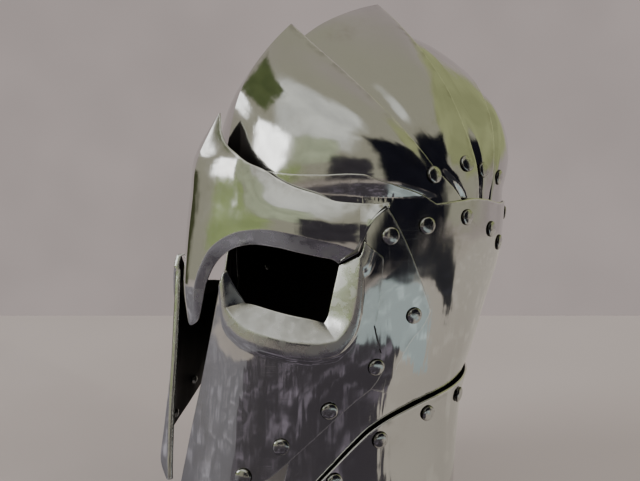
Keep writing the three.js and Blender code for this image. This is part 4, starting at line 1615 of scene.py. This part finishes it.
    def _tree(self) -> bpy.types.GeometryNodeTree:
        """Geometry Nodes that set a head, shank and tail at each seat.

        Returns:
            The tree.
        """
        tree = bpy.data.node_groups.new("set_rivets", "GeometryNodeTree")
        sheet = NodeSheet(tree)
        sheet.declare([("Geometry", "NodeSocketGeometry")], "INPUT")
        sheet.declare([(name, "NodeSocketFloat") for name in self._sizes()], "INPUT")
        sheet.declare([("Seed", "NodeSocketInt"), ("Finish", "NodeSocketMaterial")], "INPUT")
        sheet.declare([("Geometry", "NodeSocketGeometry")], "OUTPUT")
        given, result = sheet.add("NodeGroupInput").outputs, sheet.add("NodeGroupOutput").inputs
        kept = []
        for name, kind in (("axis", "FLOAT_VECTOR"), ("grip", "FLOAT")):
            node = sheet.add("GeometryNodeInputNamedAttribute", data_type=kind)
            kept.append(sheet.feed_all(node, {"Name": name}).outputs["Attribute"])
        axis, grip = kept
        turn = sheet.add("FunctionNodeAlignRotationToVector", axis="Z")
        sheet.feed(turn.inputs["Vector"], axis)
        chance = sheet.add("FunctionNodeRandomValue", data_type="FLOAT")
        chance.inputs[2].default_value, chance.inputs[3].default_value = self.head_sizes
        sheet.feed(chance.inputs["Seed"], given["Seed"])
        inward = sheet.add("ShaderNodeVectorMath", operation="SCALE")
        sheet.feed(inward.inputs[0], axis)
        sheet.feed(inward.inputs["Scale"], sheet.product(grip, -1.0))
        ends = sheet.add("GeometryNodeSetPosition")
        sheet.feed_all(ends, {"Geometry": given["Geometry"], "Offset": inward.outputs[0]})
        head = self._dome(sheet, given["Head radius"], given["Head rise"], False)
        shank = self._shank(sheet, given["Shank radius"])
        tail = self._dome(sheet, given["Tail radius"], given["Tail rise"], True)
        sets = (
            (given["Geometry"], head, chance.outputs[1]),
            (given["Geometry"], shank, sheet.vector(1.0, 1.0, grip)),
            (ends.outputs[0], tail, (1.0, 1.0, 1.0)),
        )
        join = sheet.add("GeometryNodeJoinGeometry")
        for points, piece, size in sets:
            copies = sheet.add("GeometryNodeInstanceOnPoints")
            values = {"Points": points, "Instance": piece, "Rotation": turn.outputs[0], "Scale": size}
            sheet.feed(join.inputs[0], sheet.feed_all(copies, values).outputs[0])
        real, dress = sheet.add("GeometryNodeRealizeInstances"), sheet.add("GeometryNodeSetMaterial")
        sheet.feed(real.inputs[0], join.outputs[0])
        sheet.feed_all(dress, {"Geometry": real.outputs[0], "Material": given["Finish"]})
        sheet.feed(result[0], dress.outputs[0])
        return tree

    def build(self, material: Material) -> bpy.types.Object:
        """Sets all the rivets as one mesh and dresses it.

        Args:
            material: their finish.

        Returns:
            The piece.
        """
        names, seats = self._seats()
        holder = bpy.data.objects.new("rivet_seats", seats)
        bpy.context.scene.collection.objects.link(holder)
        modifier = holder.modifiers.new("set_rivets", "NODES")
        modifier.node_group = self._tree()
        values = {**self._sizes(), "Seed": self.seed, "Finish": material}
        for item in modifier.node_group.interface.items_tree:
            if item.in_out == "INPUT" and item.name in values:
                modifier[item.identifier] = values[item.name]
        graph = bpy.context.evaluated_depsgraph_get()
        mesh = bpy.data.meshes.new_from_object(holder.evaluated_get(graph))
        bpy.data.objects.remove(holder)
        mesh.name = "rivets_of_the_plates"
        mesh.shade_smooth()
        mesh.set_sharp_from_angle(angle=math.radians(self.crease_turn))
        return show(mesh, material, names)


# Finishes


class EffectGroup:
    """A shader node group that several finishes share."""

    name: str = ""
    inputs: tuple[tuple[str, str], ...] = ()
    outputs: tuple[tuple[str, str], ...] = ()

    def tree(self) -> bpy.types.ShaderNodeTree:
        """The group's tree, made the first time that it is asked for.

        Returns:
            The tree.
        """
        found = bpy.data.node_groups.get(self.name)
        if found:
            return found
        tree = bpy.data.node_groups.new(self.name, "ShaderNodeTree")
        sheet = NodeSheet(tree)
        sheet.declare(self.inputs, "INPUT")
        sheet.declare(self.outputs, "OUTPUT")
        given, result = sheet.add("NodeGroupInput").outputs, sheet.add("NodeGroupOutput")
        sheet.feed_all(result, self.draw(sheet, given))
        return tree

    def draw(self, sheet: NodeSheet, given: bpy.types.NodeOutputs) -> dict[str, object]:
        """Adds the group's nodes.

        Args:
            sheet: the group's nodes.
            given: the group's inputs.

        Returns:
            What each output gets.
        """
        raise NotImplementedError

    def use(self, sheet: NodeSheet, **values: object) -> bpy.types.NodeOutputs:
        """Adds the group to a finish.

        Args:
            sheet: the finish's nodes.
            values: what each input gets, by its name in lower case.

        Returns:
            The group's outputs.
        """
        node = sheet.add("ShaderNodeGroup", node_tree=self.tree())
        for socket in node.inputs:
            sheet.feed(socket, values[socket.name.lower()])
        return node.outputs


class Planishing(EffectGroup):
    """Broad waviness, small hammer facets and upright streaks left in hand-worked sheet."""

    name = "planishing"
    inputs = (("Place", "NodeSocketVector"), ("Depth", "NodeSocketFloat"))
    outputs = (("Height", "NodeSocketFloat"),)

    def draw(self, sheet: NodeSheet, given: bpy.types.NodeOutputs) -> dict[str, object]:
        """Adds a slow noise, a quicker one and, below the skull, one drawn out upwards.

        Args:
            sheet: the group's nodes.
            given: the group's inputs.

        Returns:
            What each output gets.
        """
        place = given["Place"]
        slow = sheet.noise(place, scale=21.0, detail=1.0)
        quick = sheet.product(sheet.noise(place, scale=74.0, detail=1.0), 0.16)
        below = sheet.ramp(sheet.parts(place)["Z"], low=0.12, high=0.19, start=0.34, end=0.05)
        upright = sheet.stretched(place, (115.0, 115.0, 17.0))
        streaks = sheet.product(sheet.noise(upright, scale=1.0), below)
        total = sheet.math("ADD", sheet.math("ADD", slow, quick), streaks)
        return {"Height": sheet.product(total, given["Depth"])}


class PolishMarks(EffectGroup):
    """Fine lines of the polishing wheel, in two directions, and wiped streaks."""

    name = "polish_marks"
    inputs = (("Place", "NodeSocketVector"), ("Strength", "NodeSocketFloat"))
    outputs = (("Mask", "NodeSocketFloat"), ("Height", "NodeSocketFloat"))

    def draw(self, sheet: NodeSheet, given: bpy.types.NodeOutputs) -> dict[str, object]:
        """Stretches noise along and across the helm.

        Args:
            sheet: the group's nodes.
            given: the group's inputs.

        Returns:
            What each output gets.
        """
        masks = []
        for size, turn in (((700.0, 700.0, 26.0), 0.25), ((60.0, 60.0, 1500.0), -0.35)):
            drawn = sheet.stretched(given["Place"], size, (turn, 0.4 * turn, turn))
            lines = sheet.noise(drawn, scale=1.0, detail=3.0, roughness=0.6)
            masks.append(sheet.ramp(lines, low=0.56, high=0.74))
        patches = sheet.ramp(sheet.noise(given["Place"], scale=34.0, detail=3.0), low=0.42, high=0.66)
        lines = sheet.math("MAXIMUM", masks[0], sheet.product(masks[1], 0.6))
        mask = sheet.product(sheet.product(lines, patches), given["Strength"])
        return {"Mask": mask, "Height": sheet.product(mask, -1.0)}


class RimWearAndLight(EffectGroup):
    """Ground, lightly scuffed metal along the edge of a sheet, lightened also as a painted edge
    highlight, and grime just inside it, darkened also as painted shade where plates lap.
    """

    name = "rim_wear"
    inputs = (("Place", "NodeSocketVector"), ("Rim", "NodeSocketFloat"), ("Width", "NodeSocketFloat"))
    outputs = (("Wear", "NodeSocketFloat"), ("Grime and shade", "NodeSocketFloat"))

    def draw(self, sheet: NodeSheet, given: bpy.types.NodeOutputs) -> dict[str, object]:
        """Measures from the edge and breaks the line up.

        Args:
            sheet: the group's nodes.
            given: the group's inputs.

        Returns:
            What each output gets.
        """
        broken = sheet.noise(given["Place"], scale=260.0, detail=3.0)
        reach = sheet.product(given["Width"], sheet.ramp(broken, low=0.3, high=0.7, start=0.35, end=1.35))
        share = sheet.math("DIVIDE", given["Rim"], reach)
        blotch = sheet.ramp(sheet.noise(given["Place"], scale=120.0, detail=4.0), low=0.45, high=0.68)
        # Painted shade: the grime blotches near every edge also stand for the shade where plates lap.
        near = sheet.ramp(given["Rim"], low=0.8, high=6.0, start=1.0, end=0.0)
        grime_and_shade = sheet.product(sheet.product(blotch, near), 0.45)
        # The worn band is also a painted edge highlight.
        return {"Wear": sheet.ramp(share, low=0.25, high=1.0, start=1.0, end=0.0), "Grime and shade": grime_and_shade}


class Tarnish(EffectGroup):
    """Faint clouding where the polish has dulled."""

    name = "tarnish"
    inputs = (("Place", "NodeSocketVector"),)
    outputs = (("Mask", "NodeSocketFloat"),)

    def draw(self, sheet: NodeSheet, given: bpy.types.NodeOutputs) -> dict[str, object]:
        """Multiplies broad clouds by small specks.

        Args:
            sheet: the group's nodes.
            given: the group's inputs.

        Returns:
            What each output gets.
        """
        broad = sheet.noise(given["Place"], scale=13.0, detail=4.0, roughness=0.6)
        small = sheet.noise(given["Place"], scale=300.0)
        specks = sheet.ramp(small, low=0.4, high=0.7, start=0.5, end=1.0)
        return {"Mask": sheet.product(sheet.ramp(broad, low=0.5, high=0.72), specks)}


@dataclass(frozen=True)
class PolishedSteel:
    """Mirror-polished sheet outside, with painted highlight and painted shade along its edges, and
    unpolished sheet inside, painted very dark as the shade within the helm.

    Each rough value is how much rougher the steel is where its mask is full.
    """

    name: str = "mirror_polished_plate"
    tone: Colour = (0.68, 0.685, 0.68)
    cloud_tone: Colour = (0.54, 0.53, 0.5)
    worn_and_highlight_tone: Colour = (0.86, 0.86, 0.85)
    grime_and_shade_tone: Colour = (0.36, 0.35, 0.33)
    dull_tone: Colour = (0.68, 0.68, 0.685)
    inside_shade_tone: Colour = (0.1, 0.095, 0.092)
    roughness: float = 0.075
    mark_rough: float = 0.16
    cloud_rough: float = 0.12
    grime_rough: float = 0.2
    dull_roughness: float = 0.33
    worn_roughness: float = 0.24
    inside_roughness: float = 0.42
    wave_depth: float = 0.0011
    mark_depth: float = 0.00002
    mark_bump: float = 0.35
    mark_strength: float = 0.8
    rim_width: float = 1.3

    def material(self) -> Material:
        """The finish as a material.

        Returns:
            The material.
        """
        sheet = FinishSheet(self.name)
        rim, inside, dull = (sheet.attribute(name) for name in ("rim_mm", "inside", "dull"))
        waves = Planishing().use(sheet, place=sheet.place, depth=self.wave_depth)
        marks = PolishMarks().use(sheet, place=sheet.place, strength=self.mark_strength)
        edge = RimWearAndLight().use(sheet, place=sheet.place, rim=rim, width=self.rim_width)
        clouds = Tarnish().use(sheet, place=sheet.place)["Mask"]
        tone = sheet.blend(clouds, self.tone, self.cloud_tone)
        # Grime and painted shade: a blotchy darker band just inside every edge.
        tone = sheet.blend(edge["Grime and shade"], tone, self.grime_and_shade_tone)
        tone = sheet.blend(dull, tone, self.dull_tone)
        # Wear and painted highlight: a lighter band along every edge, for worn metal and for the light
        # that the rounded edge catches.
        tone = sheet.blend(edge["Wear"], tone, self.worn_and_highlight_tone)
        # Painted shade: the inside faces get a very dark tone, for the shade inside the helm.
        tone = sheet.blend(inside, tone, self.inside_shade_tone)
        rough = sheet.math("MULTIPLY_ADD", marks["Mask"], self.mark_rough, self.roughness)
        rough = sheet.math("MULTIPLY_ADD", clouds, self.cloud_rough, rough)
        rough = sheet.math("MULTIPLY_ADD", edge["Grime and shade"], self.grime_rough, rough)
        patches = sheet.noise(sheet.place, scale=130.0, detail=3.0)
        mottled = sheet.ramp(patches, low=0.35, high=0.7, start=0.75, end=1.6)
        rough = sheet.between(dull, rough, sheet.product(mottled, self.dull_roughness))
        rough = sheet.between(edge["Wear"], rough, self.worn_roughness)
        rough = sheet.between(inside, rough, self.inside_roughness)
        fine = sheet.bump(marks["Height"], self.mark_depth, self.mark_bump)
        broad = sheet.bump(waves["Height"], 1.0, 1.0)
        sheet.feed(broad.inputs["Normal"], fine.outputs["Normal"])
        normal = broad.outputs["Normal"]
        return sheet.finished({"Metallic": 1.0, "Base Color": tone, "Roughness": rough, "Normal": normal})


@dataclass(frozen=True)
class RivetSteel:
    """Peened steel of the rivets, a little duller than the plates, with a painted shadow ring that
    darkens the foot of each head.
    """

    name: str = "peened_rivet_steel"
    tone: Colour = (0.6, 0.605, 0.6)
    dark_tone: Colour = (0.27, 0.26, 0.25)
    foot_shadow_tone: Colour = (0.05, 0.048, 0.046)
    foot_shadow_rise: tuple[float, float] = (0.3, 0.62)
    roughness: float = 0.14
    mark_rough: float = 0.2
    pit_rough: float = 0.15
    dent_depth: float = 0.0002
    dent_bump: float = 0.4

    def material(self) -> Material:
        """The finish as a material.

        Returns:
            The material.
        """
        sheet = FinishSheet(self.name)
        clouds = Tarnish().use(sheet, place=sheet.place)["Mask"]
        marks = PolishMarks().use(sheet, place=sheet.place, strength=1.0)["Mask"]
        pits = sheet.ramp(sheet.noise(sheet.place, scale=900.0, detail=3.0), low=0.5, high=0.75)
        tone = sheet.blend(sheet.math("MAXIMUM", pits, clouds), self.tone, self.dark_tone)
        # Painted shadow: the foot of each head goes nearly black, for the shade in the gap under the
        # head.
        low, high = self.foot_shadow_rise
        foot = sheet.ramp(sheet.attribute("rise"), low, high, start=1.0, end=0.0)
        tone = sheet.blend(foot, tone, self.foot_shadow_tone)
        rough = sheet.math("MULTIPLY_ADD", marks, self.mark_rough, self.roughness)
        rough = sheet.math("MULTIPLY_ADD", pits, self.pit_rough, rough)
        dents = sheet.bump(sheet.noise(sheet.place, scale=420.0), self.dent_depth, self.dent_bump)
        normal = dents.outputs["Normal"]
        return sheet.finished({"Metallic": 1.0, "Base Color": tone, "Roughness": rough, "Normal": normal})


# Studio


@dataclass(frozen=True)
class PaintedSurface:
    """Matt paint of the floor and the room, with a little light of its own.

    The room's paint goes over to another tone on the side that its plain end faces: far_side
    is the direction away from that side, and turn_over where the change starts and ends.
    """

    name: str
    tone: Colour
    glow: float = 0.0
    other_tone: Colour | None = None
    far_side: Triple = (-0.85, 0.53, 0.0)
    turn_over: tuple[float, float] = (0.2, 1.6)
    shade: float = 0.9
    roughness: float = 0.6
    specular: float = 0.25

    def material(self) -> Material:
        """The paint as a material.

        Returns:
            The material.
        """
        sheet = FinishSheet(self.name)
        patches = sheet.ramp(sheet.noise(sheet.place, scale=1.6), low=0.3, high=0.7)
        darker = tuple(self.shade * part for part in self.tone)
        tone = sheet.blend(patches, self.tone, darker)
        if self.other_tone:
            across = sheet.add("ShaderNodeVectorMath", operation="DOT_PRODUCT")
            sheet.feed(across.inputs[0], sheet.place)
            sheet.feed(across.inputs[1], self.far_side)
            far = sheet.ramp(across.outputs["Value"], *self.turn_over)
            tone = sheet.blend(far, self.other_tone, tone)
        glow = {"Emission Color": tone, "Emission Strength": self.glow}
        matt = {"Roughness": self.roughness, "Specular IOR Level": self.specular}
        return sheet.finished({"Base Color": tone, **glow, **matt})


@dataclass(frozen=True)
class StudioCard:
    """A plain card beside the helm that only the steel's reflections see.

    bearing is the turn from +X in plan and lift the height above the level, in degrees.
    """

    name: str
    bearing: float
    lift: float
    distance: float
    width: float
    height: float
    tone: Colour
    glow: float
    softness: float = 0.35

    def _material(self) -> Material:
        """Glowing paper that thins out towards its ragged edge.

        Returns:
            The material.
        """
        sheet = FinishSheet(self.name)
        sheet.tree.nodes.remove(sheet.shader)
        parts = sheet.parts(sheet.place)
        ragged = sheet.math("MULTIPLY_ADD", sheet.noise(sheet.place, scale=2.3), 0.5, -0.25)
        thin = []
        for axis in ("X", "Y"):
            across = sheet.math("ADD", sheet.math("ABSOLUTE", parts[axis]), ragged)
            low, high = 1.0 - self.softness, 1.0 - 0.2 * self.softness
            thin.append(sheet.ramp(across, low, high, start=1.0, end=0.0))
        patches = sheet.noise(sheet.place, scale=1.7, detail=3.0)
        clouds = sheet.ramp(patches, low=0.3, high=0.7, start=0.82, end=1.12)
        glow, clear = sheet.add("ShaderNodeEmission"), sheet.add("ShaderNodeBsdfTransparent")
        sheet.feed_all(glow, {"Color": (*self.tone, 1.0), "Strength": sheet.product(clouds, self.glow)})
        mix = sheet.add("ShaderNodeMixShader")
        for socket, value in zip(mix.inputs, (sheet.product(*thin), clear.outputs[0], glow.outputs[0])):
            sheet.feed(socket, value)
        sheet.feed(sheet.tree.nodes["Material Output"].inputs["Surface"], mix.outputs[0])
        return sheet.material

    def build(self, centre: Vector) -> None:
        """Places the card so that it faces the helm.

        Args:
            centre: what it faces.
        """
        a, e = math.radians(self.bearing), math.radians(self.lift)
        out = Vector((math.cos(a) * math.cos(e), math.sin(a) * math.cos(e), math.sin(e)))
        side = Vector((-math.sin(a), math.cos(a), 0.0))
        up = out.cross(side)
        turn = Matrix((side * (self.width / 2), up * (self.height / 2), out)).transposed().to_4x4()
        mesh = bpy.data.meshes.new(self.name)
        mesh.from_pydata([(-1, -1, 0), (1, -1, 0), (1, 1, 0), (-1, 1, 0)], [], [(3, 2, 1, 0)])
        mesh.materials.append(self._material())
        card = bpy.data.objects.new(self.name, mesh)
        card.matrix_world = Matrix.Translation(centre + out * self.distance) @ turn
        card.visible_camera = card.visible_shadow = card.visible_diffuse = False
        bpy.context.scene.collection.objects.link(card)


@dataclass(frozen=True)
class StudioMat:
    """A sector of matt cloth flat on the floor that glows though it is no lamp; only the steel's
    reflections see it, so it paints light into them.

    bearings are turns from +X in plan, in degrees. The radii are the ones at the first bearing
    and last_radii those at the last; blotches is how patchy the cloth is.
    """

    name: str
    bearings: tuple[float, float]
    radii: tuple[float, float]
    last_radii: tuple[float, float]
    height: float
    tone: Colour
    blotches: float
    glow: float = 0.8
    roughness: float = 0.9
    steps: int = 24

    def _material(self) -> Material:
        """The cloth as a glowing material, with lighter blotches that paint streaks into the steel's
        reflections.

        Returns:
            The material.
        """
        sheet = FinishSheet(self.name)
        patches = sheet.ramp(sheet.noise(sheet.place, scale=16.0), low=0.52, high=0.7)
        light = tuple(part * (1 + 2 * self.blotches) for part in self.tone)
        tone = sheet.blend(patches, self.tone, light)
        glow = {"Emission Color": tone, "Emission Strength": self.glow}
        return sheet.finished({"Base Color": tone, "Roughness": self.roughness, **glow})

    def build(self) -> None:
        """Lays the cloth."""
        turns = np.radians(np.linspace(*self.bearings, self.steps + 1))
        points = []
        for first, last in zip(self.radii, self.last_radii):
            for a, r in zip(turns, np.linspace(first, last, len(turns))):
                points.append((r * math.cos(a), r * math.sin(a), self.height))
        count = len(turns)
        faces = [(k, k + count, k + count + 1, k + 1) for k in range(self.steps)]
        mesh = bpy.data.meshes.new(self.name)
        mesh.from_pydata(points, [], faces)
        mesh.materials.append(self._material())
        mat = bpy.data.objects.new(self.name, mesh)
        mat.visible_camera = mat.visible_shadow = mat.visible_diffuse = False
        bpy.context.scene.collection.objects.link(mat)


@dataclass
class Studio:
    """Pale floor, plain round room, soft lamps, cards and the camera.

    Lengths are metres. Each lamp has a name, a place, a size and a power in watts.
    """

    camera_place: Triple = (0.415, -0.2739, 0.267)
    camera_forward: Triple = (-0.8389, 0.5243, -0.1461)
    camera_up: Triple = (-0.1239, 0.0774, 0.9893)
    camera_reach: tuple[float, float] = (0.02, 50.0)
    lens: float = 39.375
    sensor: float = 36.0
    floor_reach: float = 1.03
    floor_size: float = 3.2
    floor_glow: float = 0.12
    room_radius: float = 3.4
    room_peak: float = 1.02
    room_sink: float = 0.6
    room_share: float = 0.94
    room_turns: int = 96
    room_rows: int = 36
    room_glow: float = 1.0
    floor_tone: Colour = (0.545, 0.49, 0.48)
    room_tone: Colour = (0.29, 0.255, 0.255)
    room_near_tone: Colour = (0.25, 0.245, 0.195)
    air_tone: Colour = (0.3, 0.3, 0.31)
    air_strength: float = 0.3
    card_centre: Triple = (0.0, 0.0, 0.2)
    lamp_aim: Triple = (0.0, 0.0, 0.18)
    lamps: tuple[tuple[str, Triple, float, float], ...] = (
        ("key_lamp", (-0.6, -1.4, 1.5), 1.0, 14.0),
        ("fill_lamp", (1.3, 0.7, 1.4), 1.2, 7.0),
        ("back_lamp", (-1.0, 1.3, 1.2), 0.9, 6.0),
    )
    cards: tuple[StudioCard, ...] = (
        StudioCard("ceiling_card", -66.0, 50.0, 1.3, 2.1, 1.7, (0.76, 0.76, 0.7), 1.0, 0.5),
        StudioCard("olive_side_card", 84.0, 30.0, 1.32, 2.1, 1.6, (0.36, 0.38, 0.19), 1.0, 0.4),
        StudioCard("wall_card", -66.0, 21.0, 1.25, 1.0, 0.5, (0.46, 0.5, 0.34), 1.0),
        StudioCard("olive_low_card", -92.0, 5.0, 1.24, 1.3, 0.4, (0.33, 0.4, 0.17), 1.0, 0.5),
        StudioCard("left_shade_card", -138.0, -3.0, 1.22, 0.75, 0.65, (0.06, 0.066, 0.03), 1.0),
        StudioCard("olive_shade_card", -127.0, 46.0, 1.22, 0.62, 0.62, (0.1, 0.125, 0.05), 1.0),
        StudioCard("window_card", -102.0, 19.0, 1.2, 0.75, 0.52, (1.0, 1.0, 0.98), 3.6),
        StudioCard("window_strip_card", -145.0, 29.0, 1.2, 0.9, 0.2, (1.0, 1.0, 0.98), 2.4),
        StudioCard("near_card", -38.0, 6.0, 1.15, 0.8, 0.6, (0.045, 0.04, 0.046), 1.0),
        StudioCard("dark_card", 14.0, 17.0, 1.15, 1.6, 1.35, (0.009, 0.009, 0.014), 1.0, 0.3),
    )
    mats: tuple[StudioMat, ...] = (
        StudioMat("dark_mat", (-70.0, 14.0), (0.12, 1.1), (0.12, 1.1), 0.002, (0.03, 0.026, 0.033), 2.2),
        StudioMat("grey_mat", (-165.0, -70.0), (0.12, 1.1), (0.12, 1.1), 0.002, (0.11, 0.105, 0.12), 0.8),
        StudioMat("side_mat", (14.0, 150.0), (0.12, 1.3), (0.12, 1.3), 0.002, (0.31, 0.285, 0.255), 0.1),
        StudioMat("pale_mat", (-12.0, 32.0), (0.48, 1.1), (0.22, 0.4), 0.004, (0.26, 0.31, 0.32), 0.3),
        StudioMat("black_mat", (-2.0, 47.0), (0.9, 1.3), (0.38, 1.3), 0.006, (0.01, 0.01, 0.015), 0.5),
    )

    def build_camera(self) -> None:
        """Makes the camera and gives it to the scene."""
        forward = Vector(self.camera_forward).normalized()
        right = forward.cross(Vector(self.camera_up)).normalized()
        up = right.cross(forward)
        turn = Matrix((right, up, -forward)).transposed()
        data = bpy.data.cameras.new("camera")
        data.lens, data.sensor_width = self.lens, self.sensor
        data.clip_start, data.clip_end = self.camera_reach
        data.dof.use_dof = False
        camera = bpy.data.objects.new("camera", data)
        camera.matrix_world = Matrix.Translation(Vector(self.camera_place)) @ turn.to_4x4()
        bpy.context.scene.collection.objects.link(camera)
        bpy.context.scene.camera = camera

    def build_floor(self) -> None:
        """Lays the floor, with its far edge level in the camera's view."""
        ahead = Vector((self.camera_forward[0], self.camera_forward[1], 0.0)).normalized()
        side = Vector((-ahead.y, ahead.x, 0.0))
        far = Vector((self.camera_place[0], self.camera_place[1], 0.0)) + ahead * self.floor_reach
        half = self.floor_size / 2
        corners = [far - side * half, far + side * half]
        corners += [corner - ahead * self.floor_size for corner in reversed(corners)]
        mesh = bpy.data.meshes.new("studio_floor")
        mesh.from_pydata([tuple(c) for c in corners], [], [(0, 3, 2, 1)])
        mesh.materials.append(PaintedSurface("floor_paint", self.floor_tone, self.floor_glow).material())
        floor = bpy.data.objects.new("studio_floor", mesh)
        bpy.context.scene.collection.objects.link(floor)

    def build_room(self) -> None:
        """Raises the round room with its domed ceiling."""
        turns, rows = self.room_turns, self.room_rows
        points = [(0.0, 0.0, self.room_radius * self.room_peak - self.room_sink)]
        for i in range(1, rows + 1):
            e = math.pi / 2 - math.pi * self.room_share * i / rows
            r, height = self.room_radius * math.cos(e), self.room_radius * math.sin(e) - self.room_sink
            for k in range(turns):
                a = 2 * math.pi * k / turns
                points.append((r * math.cos(a), r * math.sin(a), height))
        faces = [(0, 1 + (k + 1) % turns, 1 + k) for k in range(turns)]
        for i in range(rows - 1):
            for k in range(turns):
                a, b = 1 + i * turns + k, 1 + i * turns + (k + 1) % turns
                faces.append((a, b, b + turns, a + turns))
        mesh = bpy.data.meshes.new("studio_room")
        mesh.from_pydata(points, [], faces)
        mesh.shade_smooth()
        paint = PaintedSurface("room_paint", self.room_tone, self.room_glow, self.room_near_tone)
        mesh.materials.append(paint.material())
        room = bpy.data.objects.new("studio_room", mesh)
        room.visible_shadow = False
        bpy.context.scene.collection.objects.link(room)

    def build_lamps(self) -> None:
        """Hangs the soft lamps."""
        for name, place, size, power in self.lamps:
            data = bpy.data.lights.new(name, "AREA")
            data.shape, data.size, data.energy = "SQUARE", size, power
            lamp = bpy.data.objects.new(name, data)
            lamp.location = place
            toward = Vector(self.lamp_aim) - Vector(place)
            lamp.rotation_euler = toward.to_track_quat("-Z", "Y").to_euler()
            lamp.visible_camera = lamp.visible_glossy = False
            bpy.context.scene.collection.objects.link(lamp)

    def build_air(self) -> None:
        """Gives the scene its even, faint light."""
        world = bpy.data.worlds.new("studio_air")
        world.use_nodes = True
        background = world.node_tree.nodes["Background"]
        background.inputs["Color"].default_value = (*self.air_tone, 1.0)
        background.inputs["Strength"].default_value = self.air_strength
        bpy.context.scene.world = world

    def build(self) -> None:
        """Sets up the whole studio."""
        self.build_camera()
        self.build_floor()
        self.build_room()
        self.build_lamps()
        for card in self.cards:
            card.build(Vector(self.card_centre))
        for mat in self.mats:
            mat.build()
        self.build_air()
        LOG.info("studio: floor, room, %d cards, %d mats and the camera", len(self.cards), len(self.mats))


# The whole helm


@dataclass
class Helm:
    """All the plates and rivets of the helm, from the skull outwards."""

    form: HelmForm = field(default_factory=HelmForm)
    layer: float = LAYER
    lap: float = 0.6
    face_fineness: float = 1.5

    def lames(self) -> list[SkullLame]:
        """The four lames, front to back.

        Returns:
            The lames.
        """
        front = SkullLame(
            self.form, "front_lame", "skull_front", rise=9.4, front_keel=18, front_side=18,
            rear_keel=59.4, rear_side=51.1, rear_end=57, keel_rise=2.4,
        )
        crown = SkullLame(
            self.form, "crown_lame", "skull_crown", rise=16.0, front_keel=48, front_side=41,
            rear_keel=84.3, rear_side=82.5, rear_end=82.5, before=front, keel_joggle=20.0,
        )
        rear = SkullLame(
            self.form, "rear_lame", "skull_rear", rise=5.4, front_keel=72, front_side=70,
            rear_keel=114, rear_side=103.3, rear_end=103.3, before=crown,
        )
        back = SkullLame(
            self.form, "back_lame", "skull_back", rise=0.0, front_keel=103, front_side=91,
            rear_keel=166, rear_side=160, rear_end=160, before=rear, keel_rise=0.0,
        )
        return [front, crown, rear, back]

    def plates(self) -> list[RibbedPlate]:
        """The plates of the body and the face, in the order that they are laid.

        Returns:
            The plates.
        """
        plates: list[RibbedPlate] = [SideBand(self.form, "side_band", "side_plate", 0.0)]
        for hand in Hand:
            side = hand.name.lower()
            names = (f"{side}_temple", f"temple_plate_{side}")
            plates.append(TemplePlate(self.form, *names, self.layer, hand=hand))
        plates.append(NeckBand(self.form, "neck_band", "neck_lame", self.layer))
        fine = self.face_fineness
        for hand in Hand:
            side = hand.name.lower()
            names = (f"{side}_cheek", f"cheek_plate_{side}")
            plates.append(CheekPlate(self.form, *names, 2 * self.layer, fine, hand=hand))
        brow_layer = 3 * self.layer + self.lap
        plates.append(BrowNasal(self.form, "brow_and_nasal", "brow_nasal", brow_layer, fine))
        return plates

    def build(self) -> None:
        """Makes every piece and dresses it."""
        steel = PolishedSteel().material()
        for piece in (*self.lames(), *self.plates()):
            piece.build(steel)
        Rivets(self.form).build(RivetSteel().material())


def main() -> None:
    """Builds the helm and its studio."""
    logging.basicConfig(level=logging.INFO, format="%(name)s: %(message)s")
    Helm().build()
    Studio().build()


if __name__ == "__main__":
    main()
